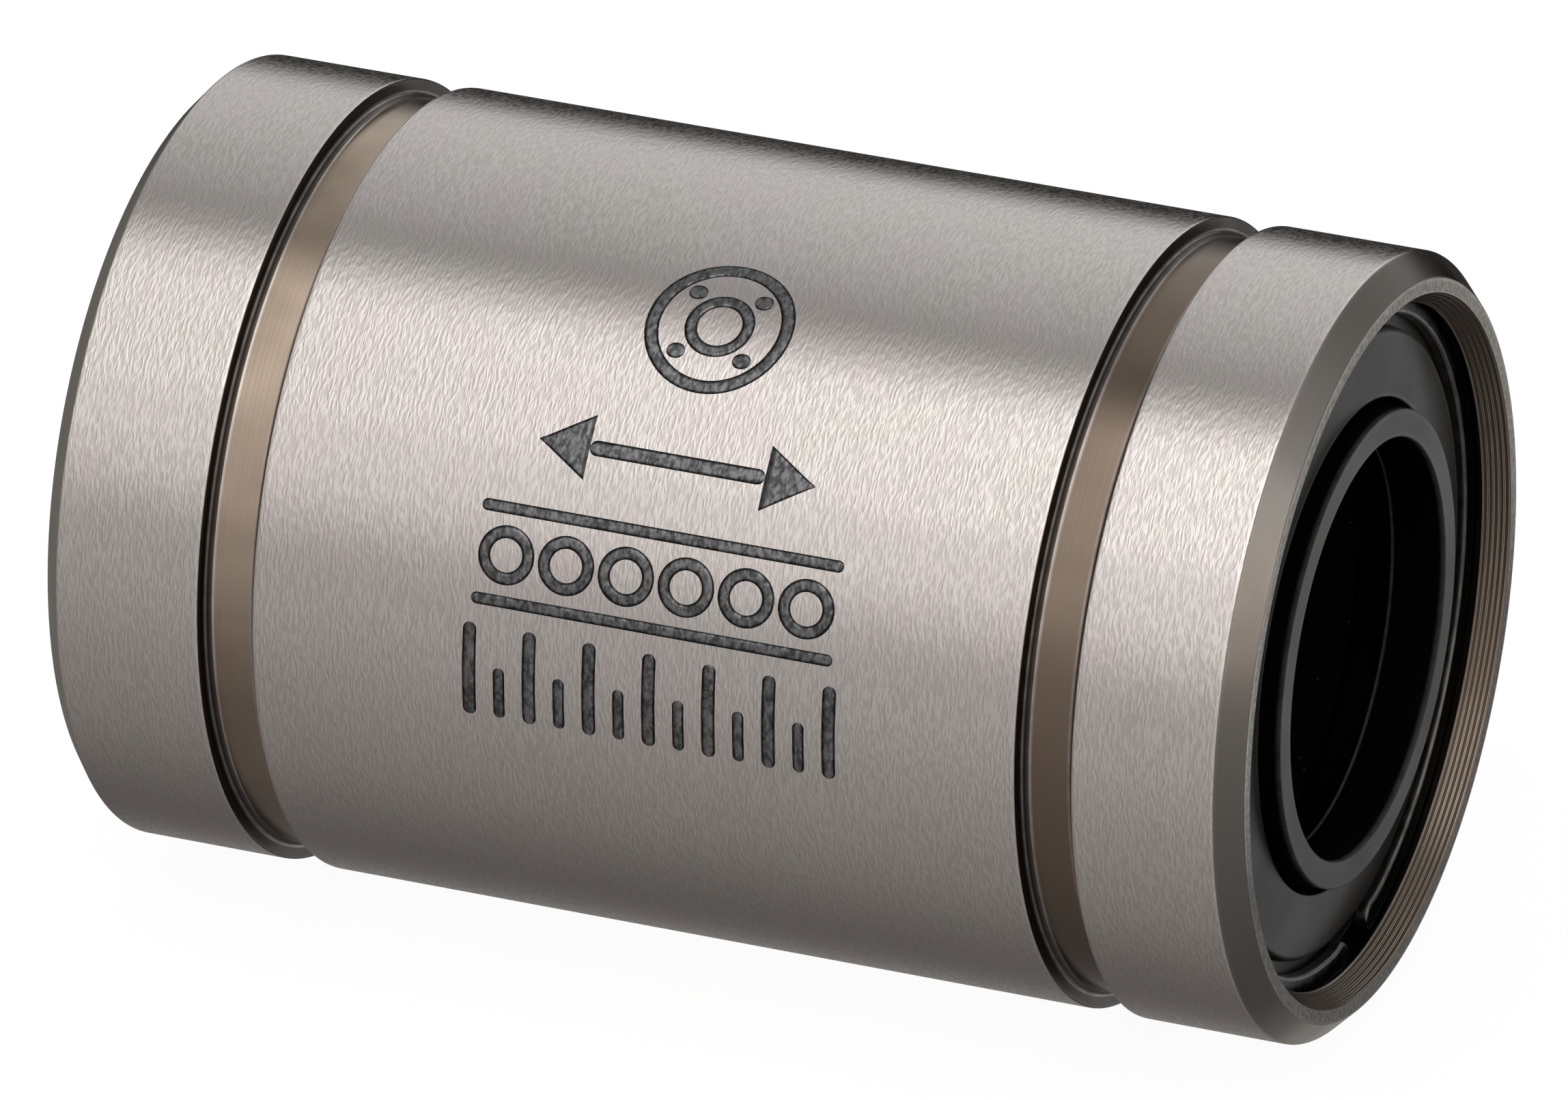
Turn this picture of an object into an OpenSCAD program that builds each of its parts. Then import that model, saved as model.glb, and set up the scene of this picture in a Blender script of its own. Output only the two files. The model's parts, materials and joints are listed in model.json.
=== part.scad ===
// Linear ball bushing: a ground steel sleeve that runs along a round shaft on four
// endless circuits of small balls. The shaft's axis is X, the origin is the middle of
// the bushing on that axis, and Z is up. Sizes are in millimetres.

/* [Shaft and sleeve] */
// Diameter of the shaft that the bushing runs on
shaft_d = 8; // [7.9:0.02:8.04]
// Outer diameter of the sleeve, a fit in its housing
outer_d = 15; // [14.9:0.05:16]
// Length of the sleeve
body_len = 24; // [23.8:0.1:26]
// Chamfer on the outer edge of each end
end_chamfer = 0.45; // [0.3:0.05:0.6]

/* [Retaining ring grooves] */
// Distance between the outer walls of the two grooves
groove_span = 17.5; // [17:0.1:18.5]
// Width of each groove
groove_w = 1.1; // [0.9:0.05:1.3]
// Diameter of the groove floor
groove_floor_d = 14.3; // [14:0.05:14.6]
// Broken edge at the top of each groove wall
groove_edge = 0.05; // [0.02:0.01:0.1]

/* [End mouths] */
// Diameter of the turned mouth at each end face
mouth_d = 13.52; // [13.3:0.02:13.9]
// Diameter at the inner end of the mouth's taper
mouth_inner_d = 13; // [12.94:0.02:13.2]
// Length of the mouth's taper
mouth_len = 0.5; // [0.4:0.05:0.55]
// Diameter of the seat that holds each end ring
seat_d = 12.9; // [12.8:0.02:12.92]
// Depth of the shoulder behind each end ring, from the end face
shoulder_depth = 2.1; // [1.9:0.05:2.3]

/* [Snap rings] */
// Width of each internal snap-ring groove
snap_groove_w = 0.5; // [0.4:0.02:0.6]
// Diameter of the floor of that groove
snap_groove_d = 13.6; // [13.4:0.05:13.7]
// Thickness of the snap ring, along the axis
snap_thick = 0.28; // [0.2:0.02:0.36]
// Inner diameter of the snap ring
snap_inner_d = 12.5; // [12.3:0.02:12.7]
// Outer diameter of the snap ring as it sits in its groove
snap_outer_d = 13.5; // [13.2:0.02:13.54]
// Angle of the opening between the snap ring's ends
snap_gap_angle = 14; // [8:1:40]
// Where the opening sits, as an angle about the axis from +Y towards +Z
snap_gap_at = 277; // [0:1:359]

/* [End rings and lip seals] */
// Diameter of the raised boss on each end ring
boss_d = 11.96; // [11.8:0.02:12.1]
// Width and height of the rounded shoulder round the boss
boss_round = 0.22; // [0.1:0.02:0.3]
// How far the boss face lies below the end face of the sleeve
boss_depth = 0.64; // [0.5:0.02:0.8]
// Diameter of the hole through each end ring
ring_hole_d = 9.38; // [9.3:0.02:9.5]
// Outer diameter of the lip seal's collar
collar_d = 9.08; // [9:0.02:9.2]
// How far the collar's face lies below the end face of the sleeve
collar_depth = 0.27; // [0.2:0.01:0.4]
// Length of the land that wipes the shaft
lip_land_len = 1.1; // [0.8:0.05:1.2]
// Diameter of the flange that holds the seal inside its end ring
seal_flange_d = 10.56; // [10.2:0.02:10.6]
// Thickness of that flange
seal_flange_thick = 0.52; // [0.4:0.02:0.54]

/* [Ball circuits] */
// Diameter of one ball
ball_d = 1.5875; // [1.5:0.0125:1.6]
// Radius of the half-circle turns, measured to the ball centres
turn_r = 1.15; // [1.14:0.01:1.2]
// Balls in each straight row
row_balls = 7; // [5:1:7]
// Balls in each turn
turn_balls = 2; // [2:1:2]
// Angle of the first load row about the axis, from +Z towards -Y
first_row_angle = 45; // [0:5:85]

/* [Retainer] */
// Inner diameter of the retainer
retainer_inner_d = 8.5; // [8.4:0.02:8.6]
// Gap between the retainer and the raceways, on the radius
retainer_gap = 0.07; // [0.05:0.01:0.1]
// Clearance round a ball in its straight tracks, on the radius
track_gap = 0.046; // [0.03:0.002:0.06]
// Clearance round a ball in the turns, a little more than in the rows
turn_gap = 0.062; // [0.062:0.002:0.07]

/* [Hidden] */
$fn = 96;

CIRCUITS = 4;
race_gap = 0.0225;                  // running gap over a loaded ball, on the radius
ball_r = ball_d / 2;
outer_r = outer_d / 2;
half_len = body_len / 2;

// A loaded ball touches the shaft, and its centre travels in a plane at track_h.
track_h = shaft_d / 2 + ball_r;
race_r = track_h + ball_r + race_gap;
return_y = 2 * turn_r;              // the return row lies this far to the side
pitch = PI * turn_r / turn_balls;   // distance from ball to ball along the track
row_len = row_balls * pitch;
return_r = norm([return_y, track_h]);
channel_r = ball_r + 1.65 * track_gap;
relief_r = return_r + channel_r + 0.013;
land_half = row_len / 2 + 0.18;     // loaded part of each raceway, either side of the middle

shoulder_x = half_len - shoulder_depth;
snap_out_x = half_len - mouth_len;
snap_in_x = snap_out_x - snap_groove_w;
groove_out_x = groove_span / 2;
groove_in_x = groove_out_x - groove_w;
ring_fit_gap = 0.02;                // radial gap of the end ring in its seat
seal_end_gap = 0.04;                // the seal's flange floats by this along the axis
lip_relief = 0.3;                   // the seal clears the shaft by this behind its land
edge_break = 0.04;                  // small broken edges on moulded pieces
track_overlap = 0.06;               // a row's track runs this far into its two turns together

// Turns an outline of [radius, distance along the axis] points about the X axis.
module turned(points) {
    rotate([0, 90, 0]) rotate_extrude() polygon(points);
}

// The same outline on the other side of the middle, listed backwards to close a loop.
function other_side(points) =
    [for (i = [len(points) - 1 : -1 : 0]) [points[i][0], -points[i][1]]];

// Faces its child along +X at the front end, or along -X at the rear end.
module at_end(front) {
    if (front) children();
    else mirror([1, 0, 0]) children();
}

// Places its child on one circuit: local Z is outwards through the load row, and
// local Y points from the load row to the return row.
module on_circuit(number) {
    rotate([first_row_angle + (number - 1) * 360 / CIRCUITS, 0, 0])
        translate([0, 0, track_h]) children();
}

// A round hole of radius r along one straight row, centred on the middle.
module row_hole(r, length, side) {
    translate([-length / 2, side, 0]) rotate([0, 90, 0]) cylinder(r = r, h = length);
}

// The half ring that joins the two rows at the front end.
module turn_hole(r) {
    translate([row_len / 2, turn_r, 0]) rotate([0, 0, -90])
        rotate_extrude(angle = 180) translate([turn_r, 0]) circle(r = r);
}

// ---- Sleeve ------------------------------------------------------------------------
module outer_sleeve() {
    half_outline = [
        [race_r, land_half],
        [relief_r, land_half],
        [relief_r, shoulder_x],
        [seat_d / 2, shoulder_x],
        [seat_d / 2, snap_in_x],
        [snap_groove_d / 2, snap_in_x],
        [snap_groove_d / 2, snap_out_x],
        [mouth_inner_d / 2, snap_out_x],
        [mouth_d / 2, half_len],
        [outer_r - end_chamfer, half_len],
        [outer_r, half_len - end_chamfer],
        [outer_r, groove_out_x + groove_edge],
        [outer_r - groove_edge, groove_out_x],
        [groove_floor_d / 2, groove_out_x],
        [groove_floor_d / 2, groove_in_x],
        [outer_r - groove_edge, groove_in_x],
        [outer_r, groove_in_x - groove_edge]
    ];
    color("#b8b2ac") difference() {
        turned(concat(half_outline, other_side(half_outline)));
        for (number = [1 : CIRCUITS])
            on_circuit(number) row_hole(channel_r, 2 * land_half + 0.6, return_y);
    }
}

// ---- Retainer ----------------------------------------------------------------------
module ball_retainer() {
    retainer_half = shoulder_x - 0.05;
    color("#26262a") difference() {
        rotate([0, 90, 0]) cylinder(r = race_r - retainer_gap, h = 2 * retainer_half, center = true);
        rotate([0, 90, 0]) cylinder(d = retainer_inner_d, h = body_len, center = true);
        for (number = [1 : CIRCUITS]) on_circuit(number) {
            row_hole(ball_r + track_gap, row_len + track_overlap, 0);
            row_hole(ball_r + track_gap, row_len + track_overlap, return_y);
            for (front = [true, false]) at_end(front) turn_hole(ball_r + turn_gap);
        }
    }
}

// ---- End rings, lip seals and snap rings -------------------------------------------
module end_ring(front) {
    flange_r = seat_d / 2 - ring_fit_gap;
    recess_r = seal_flange_d / 2 + ring_fit_gap;
    recess_x = shoulder_x + seal_flange_thick + seal_end_gap;
    boss_x = half_len - boss_depth;
    foot = [
        [recess_r, shoulder_x],
        [flange_r, shoulder_x],
        [flange_r, snap_in_x],
        [boss_d / 2, snap_in_x]
    ];
    shoulder = [for (a = [0 : 15 : 90])
        [boss_d / 2 - boss_round * (1 - cos(a)), boss_x - boss_round * (1 - sin(a))]];
    hole = [
        [ring_hole_d / 2 + edge_break, boss_x],
        [ring_hole_d / 2, boss_x - edge_break],
        [ring_hole_d / 2, recess_x],
        [recess_r, recess_x]
    ];
    color("#1d1d1f") at_end(front) turned(concat(foot, shoulder, hole));
}

module lip_seal(front) {
    face_x = half_len - collar_depth;
    land_x = face_x - lip_land_len;
    relief_wall_r = shaft_d / 2 + lip_relief;
    color("#222223") at_end(front) turned([
        [relief_wall_r, shoulder_x],
        [seal_flange_d / 2, shoulder_x],
        [seal_flange_d / 2, shoulder_x + seal_flange_thick],
        [collar_d / 2, shoulder_x + seal_flange_thick],
        [collar_d / 2, face_x - edge_break],
        [collar_d / 2 - edge_break, face_x],
        [shaft_d / 2, face_x],
        [shaft_d / 2, land_x],
        [relief_wall_r, land_x - lip_relief / 2]
    ]);
}

module snap_ring(front) {
    ring_r = (snap_outer_d + snap_inner_d) / 4;
    wire_w = (snap_outer_d - snap_inner_d) / 2;
    reach = snap_outer_d;
    half_gap = snap_gap_angle / 2;
    color("#2a2a2c") at_end(front) translate([snap_in_x, 0, 0])
        rotate([snap_gap_at, 0, 0]) rotate([90, 0, 90]) linear_extrude(snap_thick)
            difference() {
                circle(d = snap_outer_d);
                circle(d = snap_inner_d);
                difference() {
                    polygon([[0, 0], [reach * cos(half_gap), -reach * sin(half_gap)],
                             [reach * cos(half_gap), reach * sin(half_gap)]]);
                    for (side = [-1, 1])
                        rotate([0, 0, side * half_gap]) translate([ring_r, 0])
                            circle(r = 0.6 * wire_w);
                }
            }
}

module front_end_ring() { end_ring(true); }
module rear_end_ring() { end_ring(false); }
module front_lip_seal() { lip_seal(true); }
module rear_lip_seal() { lip_seal(false); }
module front_snap_ring() { snap_ring(true); }
module rear_snap_ring() { snap_ring(false); }

// ---- Balls -------------------------------------------------------------------------
module ball() {
    color("#d9dbdd") sphere(r = ball_r);
}

// A straight row. Balls step along X from start by the pitch, in the given direction.
module ball_row(number, side, start, direction) {
    on_circuit(number) for (i = [0 : row_balls - 1])
        translate([start + direction * i * pitch, side, 0]) ball();
}

// The balls in one turn, spaced round its half circle from the row they come from.
module ball_turn(number, centre_x, start_angle) {
    on_circuit(number) translate([centre_x, turn_r, 0])
        for (i = [0 : turn_balls - 1])
            rotate([0, 0, start_angle + i * 180 / turn_balls]) translate([turn_r, 0, 0]) ball();
}

module load_balls(number) { ball_row(number, 0, -row_len / 2, 1); }
module return_balls(number) { ball_row(number, return_y, row_len / 2, -1); }
module front_turn_balls(number) { ball_turn(number, row_len / 2, -90); }
module rear_turn_balls(number) { ball_turn(number, -row_len / 2, 90); }

outer_sleeve();
ball_retainer();
front_end_ring();
rear_end_ring();
front_lip_seal();
rear_lip_seal();
front_snap_ring();
rear_snap_ring();
load_balls(1);  // circuit_1_load_balls
front_turn_balls(1);  // circuit_1_front_turn_balls
return_balls(1);  // circuit_1_return_balls
rear_turn_balls(1);  // circuit_1_rear_turn_balls
load_balls(2);  // circuit_2_load_balls
front_turn_balls(2);  // circuit_2_front_turn_balls
return_balls(2);  // circuit_2_return_balls
rear_turn_balls(2);  // circuit_2_rear_turn_balls
load_balls(3);  // circuit_3_load_balls
front_turn_balls(3);  // circuit_3_front_turn_balls
return_balls(3);  // circuit_3_return_balls
rear_turn_balls(3);  // circuit_3_rear_turn_balls
load_balls(4);  // circuit_4_load_balls
front_turn_balls(4);  // circuit_4_front_turn_balls
return_balls(4);  // circuit_4_return_balls
rear_turn_balls(4);  // circuit_4_rear_turn_balls
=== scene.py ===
"""Looks of a closed linear ball bushing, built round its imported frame.

The shaft's axis is X and the origin is the middle of the bushing. Sizes in the classes are
in millimetres, and meshes are written in metres.
"""
import json
import logging
import math
from dataclasses import dataclass, field, replace
from enum import Enum, IntEnum
from functools import cache
from typing import Callable, ClassVar, Sequence

import bmesh
import bpy
from mathutils import Matrix, Vector


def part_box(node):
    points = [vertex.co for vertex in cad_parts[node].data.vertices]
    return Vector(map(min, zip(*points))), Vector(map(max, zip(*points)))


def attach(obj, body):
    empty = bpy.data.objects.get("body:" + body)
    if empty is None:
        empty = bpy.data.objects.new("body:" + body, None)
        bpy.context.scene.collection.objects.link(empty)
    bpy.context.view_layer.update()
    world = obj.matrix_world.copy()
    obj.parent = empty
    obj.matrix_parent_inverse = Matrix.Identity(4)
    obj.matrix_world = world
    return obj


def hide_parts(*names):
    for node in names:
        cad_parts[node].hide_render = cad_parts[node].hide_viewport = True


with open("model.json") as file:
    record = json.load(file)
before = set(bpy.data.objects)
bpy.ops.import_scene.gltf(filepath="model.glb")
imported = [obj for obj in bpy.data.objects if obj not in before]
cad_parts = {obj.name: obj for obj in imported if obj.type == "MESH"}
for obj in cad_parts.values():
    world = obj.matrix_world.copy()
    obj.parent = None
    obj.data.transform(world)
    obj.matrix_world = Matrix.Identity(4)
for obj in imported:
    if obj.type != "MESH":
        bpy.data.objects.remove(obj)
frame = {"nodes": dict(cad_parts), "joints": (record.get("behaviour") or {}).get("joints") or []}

LOG = logging.getLogger("ball_bushing")
MM = 0.001

Colour = tuple[float, float, float]
Point = tuple[float, float, float]
Place = tuple[float, float]
Socket = bpy.types.NodeSocket
Sockets = bpy.types.bpy_prop_collection


class End(Enum):
    """The two ends of the bushing, each with its direction along X."""

    FRONT = 1
    REAR = -1

    @property
    def word(self) -> str:
        """The end's name as it is used in the names of nodes and pieces."""
        return self.name.lower()


class Slot(Enum):
    """The record's material slots."""

    SLEEVE = "ground_steel"
    RETAINER = "retainer_resin"
    END_RING = "end_ring_resin"
    SEAL = "seal_rubber"
    SNAP_RING = "spring_steel"
    BALL = "ball_steel"


class Zone(IntEnum):
    """Parts of the sleeve's surface that were machined in different ways, and one in painted shade."""

    LAND = 0
    GROOVE = 1
    CHAMFER = 2
    FACE = 3
    MOUTH = 4
    SEAT = 5
    WALL = 6
    # The mouth ridges' inward-facing flanks, in painted shade.
    SHADED_FLANK = 7


# ---- Node trees ---------------------------------------------------------------------------
def opaque(colour: object) -> object:
    """Adds an alpha of 1 to a plain colour, and leaves a socket alone."""
    return colour if isinstance(colour, Socket) else (*colour, 1.0)


def emptied(owner: bpy.types.Material | bpy.types.World) -> bpy.types.NodeTree:
    """Turns on a material's or world's nodes, and clears them.

    Args:
        owner: The material or world.

    Returns:
        Its empty tree.
    """
    owner.use_nodes = True
    owner.node_tree.nodes.clear()
    return owner.node_tree


class Graph:
    """Adds nodes to one shader or geometry tree and links them."""

    def __init__(self, tree: bpy.types.NodeTree) -> None:
        """Keeps the tree that the nodes go into."""
        self.tree = tree

    def add(self, kind: str, inputs: dict | None = None, **settings: object) -> bpy.types.Node:
        """Adds a node.

        Args:
            kind: Blender's name for the node's type.
            inputs: Values or sockets, by input name or number.
            **settings: The node's own properties.

        Returns:
            The new node.
        """
        node = self.tree.nodes.new(kind)
        for key, value in settings.items():
            setattr(node, key, value)
        for key, value in (inputs or {}).items():
            self.feed(node.inputs[key], value)
        return node

    def feed(self, socket: Socket, value: object) -> None:
        """Links a socket to another, or sets its value.

        Args:
            socket: The input to fill.
            value: An output socket, or a plain value.
        """
        if isinstance(value, Socket):
            self.tree.links.new(value, socket)
        else:
            socket.default_value = value

    def math(self, operation: str, first: object, second: object = 0.0) -> Socket:
        """Adds a Math node.

        Args:
            operation: The name of the operation.
            first: The first number or socket.
            second: The second number or socket.

        Returns:
            The node's output.
        """
        return self.add("ShaderNodeMath", {0: first, 1: second}, operation=operation).outputs[0]

    def span(self, value: Socket, low: float, high: float, to_low: float = 0.0,
             to_high: float = 1.0) -> Socket:
        """Maps a stretch of values to another, and holds it at the ends.

        Args:
            value: The socket to map.
            low: Where the stretch starts.
            high: Where it ends.
            to_low: The result at its start.
            to_high: The result at its end.

        Returns:
            The mapped value.
        """
        inputs = {"Value": value, "From Min": low, "From Max": high, "To Min": to_low,
                  "To Max": to_high}
        return self.add("ShaderNodeMapRange", inputs).outputs["Result"]

    def blend(self, factor: object, first: object, second: object) -> Socket:
        """Mixes two colours.

        Args:
            factor: How much of the second, from 0 to 1.
            first: The first colour or socket.
            second: The second colour or socket.

        Returns:
            The mixed colour.
        """
        inputs = {0: factor, 6: opaque(first), 7: opaque(second)}
        return self.add("ShaderNodeMix", inputs, data_type="RGBA").outputs[2]

    def lay(self, under: object, over: Colour, mask: Socket, share: float) -> Socket:
        """Lays one colour over another where a mask says.

        Args:
            under: The colour or socket below.
            over: The colour on top.
            mask: Where it lies, from 0 to 1.
            share: How much of it shows at most.

        Returns:
            The mixed colour.
        """
        return self.blend(self.math("MULTIPLY", mask, share), under, over)

    def noise(self, vector: Socket, scale: object, detail: float = 2.0) -> Socket:
        """Adds a Noise texture.

        Args:
            vector: Where it is read.
            scale: How fine it is.
            detail: Octaves of finer noise.

        Returns:
            The noise value.
        """
        inputs = {"Vector": vector, "Scale": scale, "Detail": detail}
        return self.add("ShaderNodeTexNoise", inputs).outputs[0]


class Effects:
    """Shader node groups that several finishes share, each built once."""

    @staticmethod
    def _start(name: str, inputs: dict[str, float]) -> tuple[Graph, Sockets, Socket]:
        """Starts a group that takes a Vector and floats, and gives a Mask.

        Args:
            name: The group's name.
            inputs: The default of each float input.

        Returns:
            The group's graph, its inputs as they are read inside, and its Mask to feed.
        """
        tree = bpy.data.node_groups.new(name, "ShaderNodeTree")
        tree.interface.new_socket("Vector", in_out="INPUT", socket_type="NodeSocketVector")
        for key, default in inputs.items():
            socket = tree.interface.new_socket(key, in_out="INPUT", socket_type="NodeSocketFloat")
            socket.default_value = default
        tree.interface.new_socket("Mask", in_out="OUTPUT", socket_type="NodeSocketFloat")
        graph = Graph(tree)
        given = graph.add("NodeGroupInput").outputs
        return graph, given, graph.add("NodeGroupOutput").inputs["Mask"]

    @staticmethod
    @cache
    def grinding() -> bpy.types.NodeTree:
        """Short marks that run round the X axis.

        Returns:
            A group with Vector, Across and Along in.
        """
        drift_scale, drift_reach, wide_scale, wide_share = 0.35, 2.2, 0.3, 0.08
        graph, given, mask = Effects._start("grinding_marks", {"Across": 9000.0, "Along": 1800.0})
        stretch = graph.add("ShaderNodeCombineXYZ", {"X": given["Across"], "Y": given["Along"],
                                                     "Z": given["Along"]})
        place = graph.add("ShaderNodeVectorMath", {0: given["Vector"], 1: stretch.outputs[0]},
                          operation="MULTIPLY").outputs[0]
        drift = graph.math("MULTIPLY", graph.noise(place, drift_scale, 1.0), drift_reach)
        slip = graph.add("ShaderNodeCombineXYZ", {"X": drift})
        waved = graph.add("ShaderNodeVectorMath", {0: place, 1: slip.outputs[0]}).outputs[0]
        short = graph.math("MULTIPLY", graph.noise(waved, 1.0, 1.0), 1 - wide_share)
        wide = graph.math("MULTIPLY", graph.noise(waved, wide_scale, 1.0), wide_share)
        graph.feed(mask, graph.span(graph.math("ADD", short, wide), 0.36, 0.64))
        return graph.tree

    @staticmethod
    @cache
    def turning() -> bpy.types.NodeTree:
        """Fine rings left by a turning tool, round the X axis.

        Returns:
            A group with Vector and Rings in.
        """
        cone, drift_scale, drift_reach = 0.8, 260.0, 0.06 * MM
        graph, given, mask = Effects._start("turning_rings", {"Rings": 14000.0})
        split = graph.add("ShaderNodeSeparateXYZ", {0: given["Vector"]}).outputs
        flat = graph.add("ShaderNodeCombineXYZ", {"Y": split["Y"], "Z": split["Z"]})
        radius = graph.add("ShaderNodeVectorMath", {0: flat.outputs[0]}, operation="LENGTH")
        reach = graph.math("ADD", split["X"], graph.math("MULTIPLY", radius.outputs["Value"], cone))
        drift = graph.noise(given["Vector"], drift_scale, 1.0)
        reach = graph.math("ADD", reach, graph.math("MULTIPLY", drift, drift_reach))
        rings = graph.add("ShaderNodeTexNoise", {"W": reach, "Scale": given["Rings"], "Detail": 2.0},
                          noise_dimensions="1D")
        graph.feed(mask, graph.span(rings.outputs[0], 0.32, 0.68))
        return graph.tree

    @staticmethod
    @cache
    def mottling() -> bpy.types.NodeTree:
        """Broad, soft patches of tone.

        Returns:
            A group with Vector and Scale in.
        """
        graph, given, mask = Effects._start("soft_mottling", {"Scale": 300.0})
        graph.feed(mask, graph.span(graph.noise(given["Vector"], given["Scale"]), 0.35, 0.65))
        return graph.tree

    @staticmethod
    @cache
    def edge_highlight_lines() -> bpy.types.NodeTree:
        """Painted highlight lines along edges, broken up a little.

        Returns:
            A group with Vector and Edge in.
        """
        graph, given, mask = Effects._start("edge_highlight_lines", {"Edge": 0.0})
        broken = graph.span(graph.noise(given["Vector"], 2600.0), 0.3, 0.6, 0.55, 1.0)
        graph.feed(mask, graph.math("MULTIPLY", given["Edge"], broken))
        return graph.tree

    @staticmethod
    @cache
    def specks() -> bpy.types.NodeTree:
        """Small scattered dots, as of dust or pits.

        Returns:
            A group with Vector, Scale and Spread in.
        """
        graph, given, mask = Effects._start("specks", {"Scale": 2500.0, "Spread": 0.12})
        dots = graph.add("ShaderNodeTexVoronoi", {"Vector": given["Vector"], "Scale": given["Scale"]})
        graph.feed(mask, graph.math("LESS_THAN", dots.outputs["Distance"], given["Spread"]))
        return graph.tree


# ---- Finishes -----------------------------------------------------------------------------
class Coat(Graph):
    """One material's graph, with its shader and the object's own coordinates."""

    def __init__(self, name: str) -> None:
        """Starts the material.

        Args:
            name: The material's name.
        """
        self.material = bpy.data.materials.new(name)
        super().__init__(emptied(self.material))
        self.shader = self.add("ShaderNodeBsdfPrincipled")
        self.add("ShaderNodeOutputMaterial", {"Surface": self.shader.outputs[0]})
        self.place = self.add("ShaderNodeTexCoord").outputs["Object"]

    def effect(self, tree: bpy.types.NodeTree, **inputs: object) -> Socket:
        """Places a shared effect on the object.

        Args:
            tree: The effect's group.
            **inputs: Its inputs besides Vector.

        Returns:
            The effect's mask.
        """
        node = self.add("ShaderNodeGroup", node_tree=tree)
        for key, value in {"Vector": self.place, **inputs}.items():
            self.feed(node.inputs[key], value)
        return node.outputs["Mask"]

    def edge(self) -> Socket:
        """How near an edge a place lies, from the mesh's own attribute."""
        return self.add("ShaderNodeAttribute", attribute_name="edge").outputs["Fac"]

    def painted_edge_highlight(self) -> Socket:
        """The mask of painted highlight lines along edges."""
        return self.effect(Effects.edge_highlight_lines(), Edge=self.edge())

    def sunk(self, high: float, low: float) -> Socket:
        """How far down a place lies between two heights.

        Args:
            high: The height above the axis where it starts, in millimetres.
            low: The height where it is complete.

        Returns:
            A mask, 0 above and 1 below.
        """
        height = self.add("ShaderNodeSeparateXYZ", {0: self.place}).outputs["Z"]
        return self.span(height, high * MM, low * MM)

    def set(self, key: str, value: object) -> None:
        """Feeds one of the shader's inputs.

        Args:
            key: The input's name.
            value: A socket, or a plain value.
        """
        self.feed(self.shader.inputs[key], value)

    def rough(self, mask: Socket, roughness: float, swing: tuple[float, float]) -> None:
        """Feeds the shader's roughness.

        Args:
            mask: A mask that it follows.
            roughness: Its usual value.
            swing: What is added to it where the mask is 0, and where it is 1.
        """
        start, end = (roughness + step for step in swing)
        self.set("Roughness", self.span(mask, 0.0, 1.0, start, end))

    def metal(self, tone: Socket, mask: Socket, roughness: float,
              swing: tuple[float, float]) -> None:
        """Feeds the shader as bare metal.

        Args:
            tone: Its colour.
            mask: A mask that its roughness follows.
            roughness: Its usual roughness.
            swing: What is added to that where the mask is 0, and where it is 1.
        """
        self.set("Base Color", tone)
        self.set("Metallic", 1.0)
        self.rough(mask, roughness, swing)

    def relief(self, height: Socket, depth: float) -> None:
        """Feeds the shader's normal with a relief.

        Args:
            height: The relief, from 0 to 1.
            depth: How deep it is, in millimetres.
        """
        bump = self.add("ShaderNodeBump", {"Strength": 1.0, "Distance": depth * MM, "Height": height})
        self.set("Normal", bump.outputs[0])


@dataclass(frozen=True)
class Finish:
    """A procedural surface finish. Its patterns are fixed to the piece."""

    name: str

    @cache
    def material(self) -> bpy.types.Material:
        """The finish's material, built the first time it is asked for.

        Returns:
            The material.
        """
        coat = Coat(self.name)
        self.dress(coat)
        return coat.material

    def dress(self, coat: Coat) -> None:
        """Feeds the shader. Each finish has its own way.

        Args:
            coat: The material's graph.
        """
        raise NotImplementedError


@dataclass(frozen=True)
class GroundSteel(Finish):
    """Steel ground round its axis, with short marks and a soft sheen across them.

    The low share lays painted shade on it, darker towards the bottom between the two heights of the low
    band.
    """

    light: Colour = (0.735, 0.687, 0.645)
    dark: Colour = (0.63, 0.588, 0.548)
    warm: Colour = (0.72, 0.612, 0.608)
    # Painted highlight colour along edges.
    edge_highlight_tone: Colour = (0.86, 0.80, 0.78)
    # Painted shade colour towards the bottom.
    oiled: Colour = (0.04, 0.036, 0.03)
    roughness: float = 0.27
    swing: tuple[float, float] = (0.05, -0.05)
    marks_across: float = 19000.0
    marks_along: float = 4800.0
    patch_scale: float = 620.0
    warm_share: float = 0.4
    depth: float = 0.0024
    anisotropic: float = 0.55
    edge_share: float = 0.2
    # Share and heights of the painted shade towards the bottom.
    painted_shade_share: float = 0.0
    painted_shade_band: tuple[float, float] = (0.5, -2.0)

    def dress(self, coat: Coat) -> None:
        """Lays ground marks in tone, gloss and relief over broad patches.

        Args:
            coat: The material's graph.
        """
        marks = coat.effect(Effects.grinding(), Across=self.marks_across, Along=self.marks_along)
        patches = coat.effect(Effects.mottling(), Scale=self.patch_scale)
        tone = coat.blend(marks, self.dark, self.light)
        tone = coat.lay(tone, self.warm, patches, self.warm_share)
        # Painted highlight along the edges.
        tone = coat.lay(tone, self.edge_highlight_tone, coat.painted_edge_highlight(), self.edge_share)
        # Painted shade, darker towards the bottom.
        if self.painted_shade_share:
            tone = coat.lay(tone, self.oiled, coat.sunk(*self.painted_shade_band), self.painted_shade_share)
        coat.metal(tone, marks, self.roughness, self.swing)
        coat.set("Anisotropic", self.anisotropic)
        coat.set("Anisotropic Rotation", 0.25)
        tangent = coat.add("ShaderNodeTangent", direction_type="RADIAL", axis="X")
        coat.set("Tangent", tangent.outputs[0])
        coat.relief(marks, self.depth)


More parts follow.
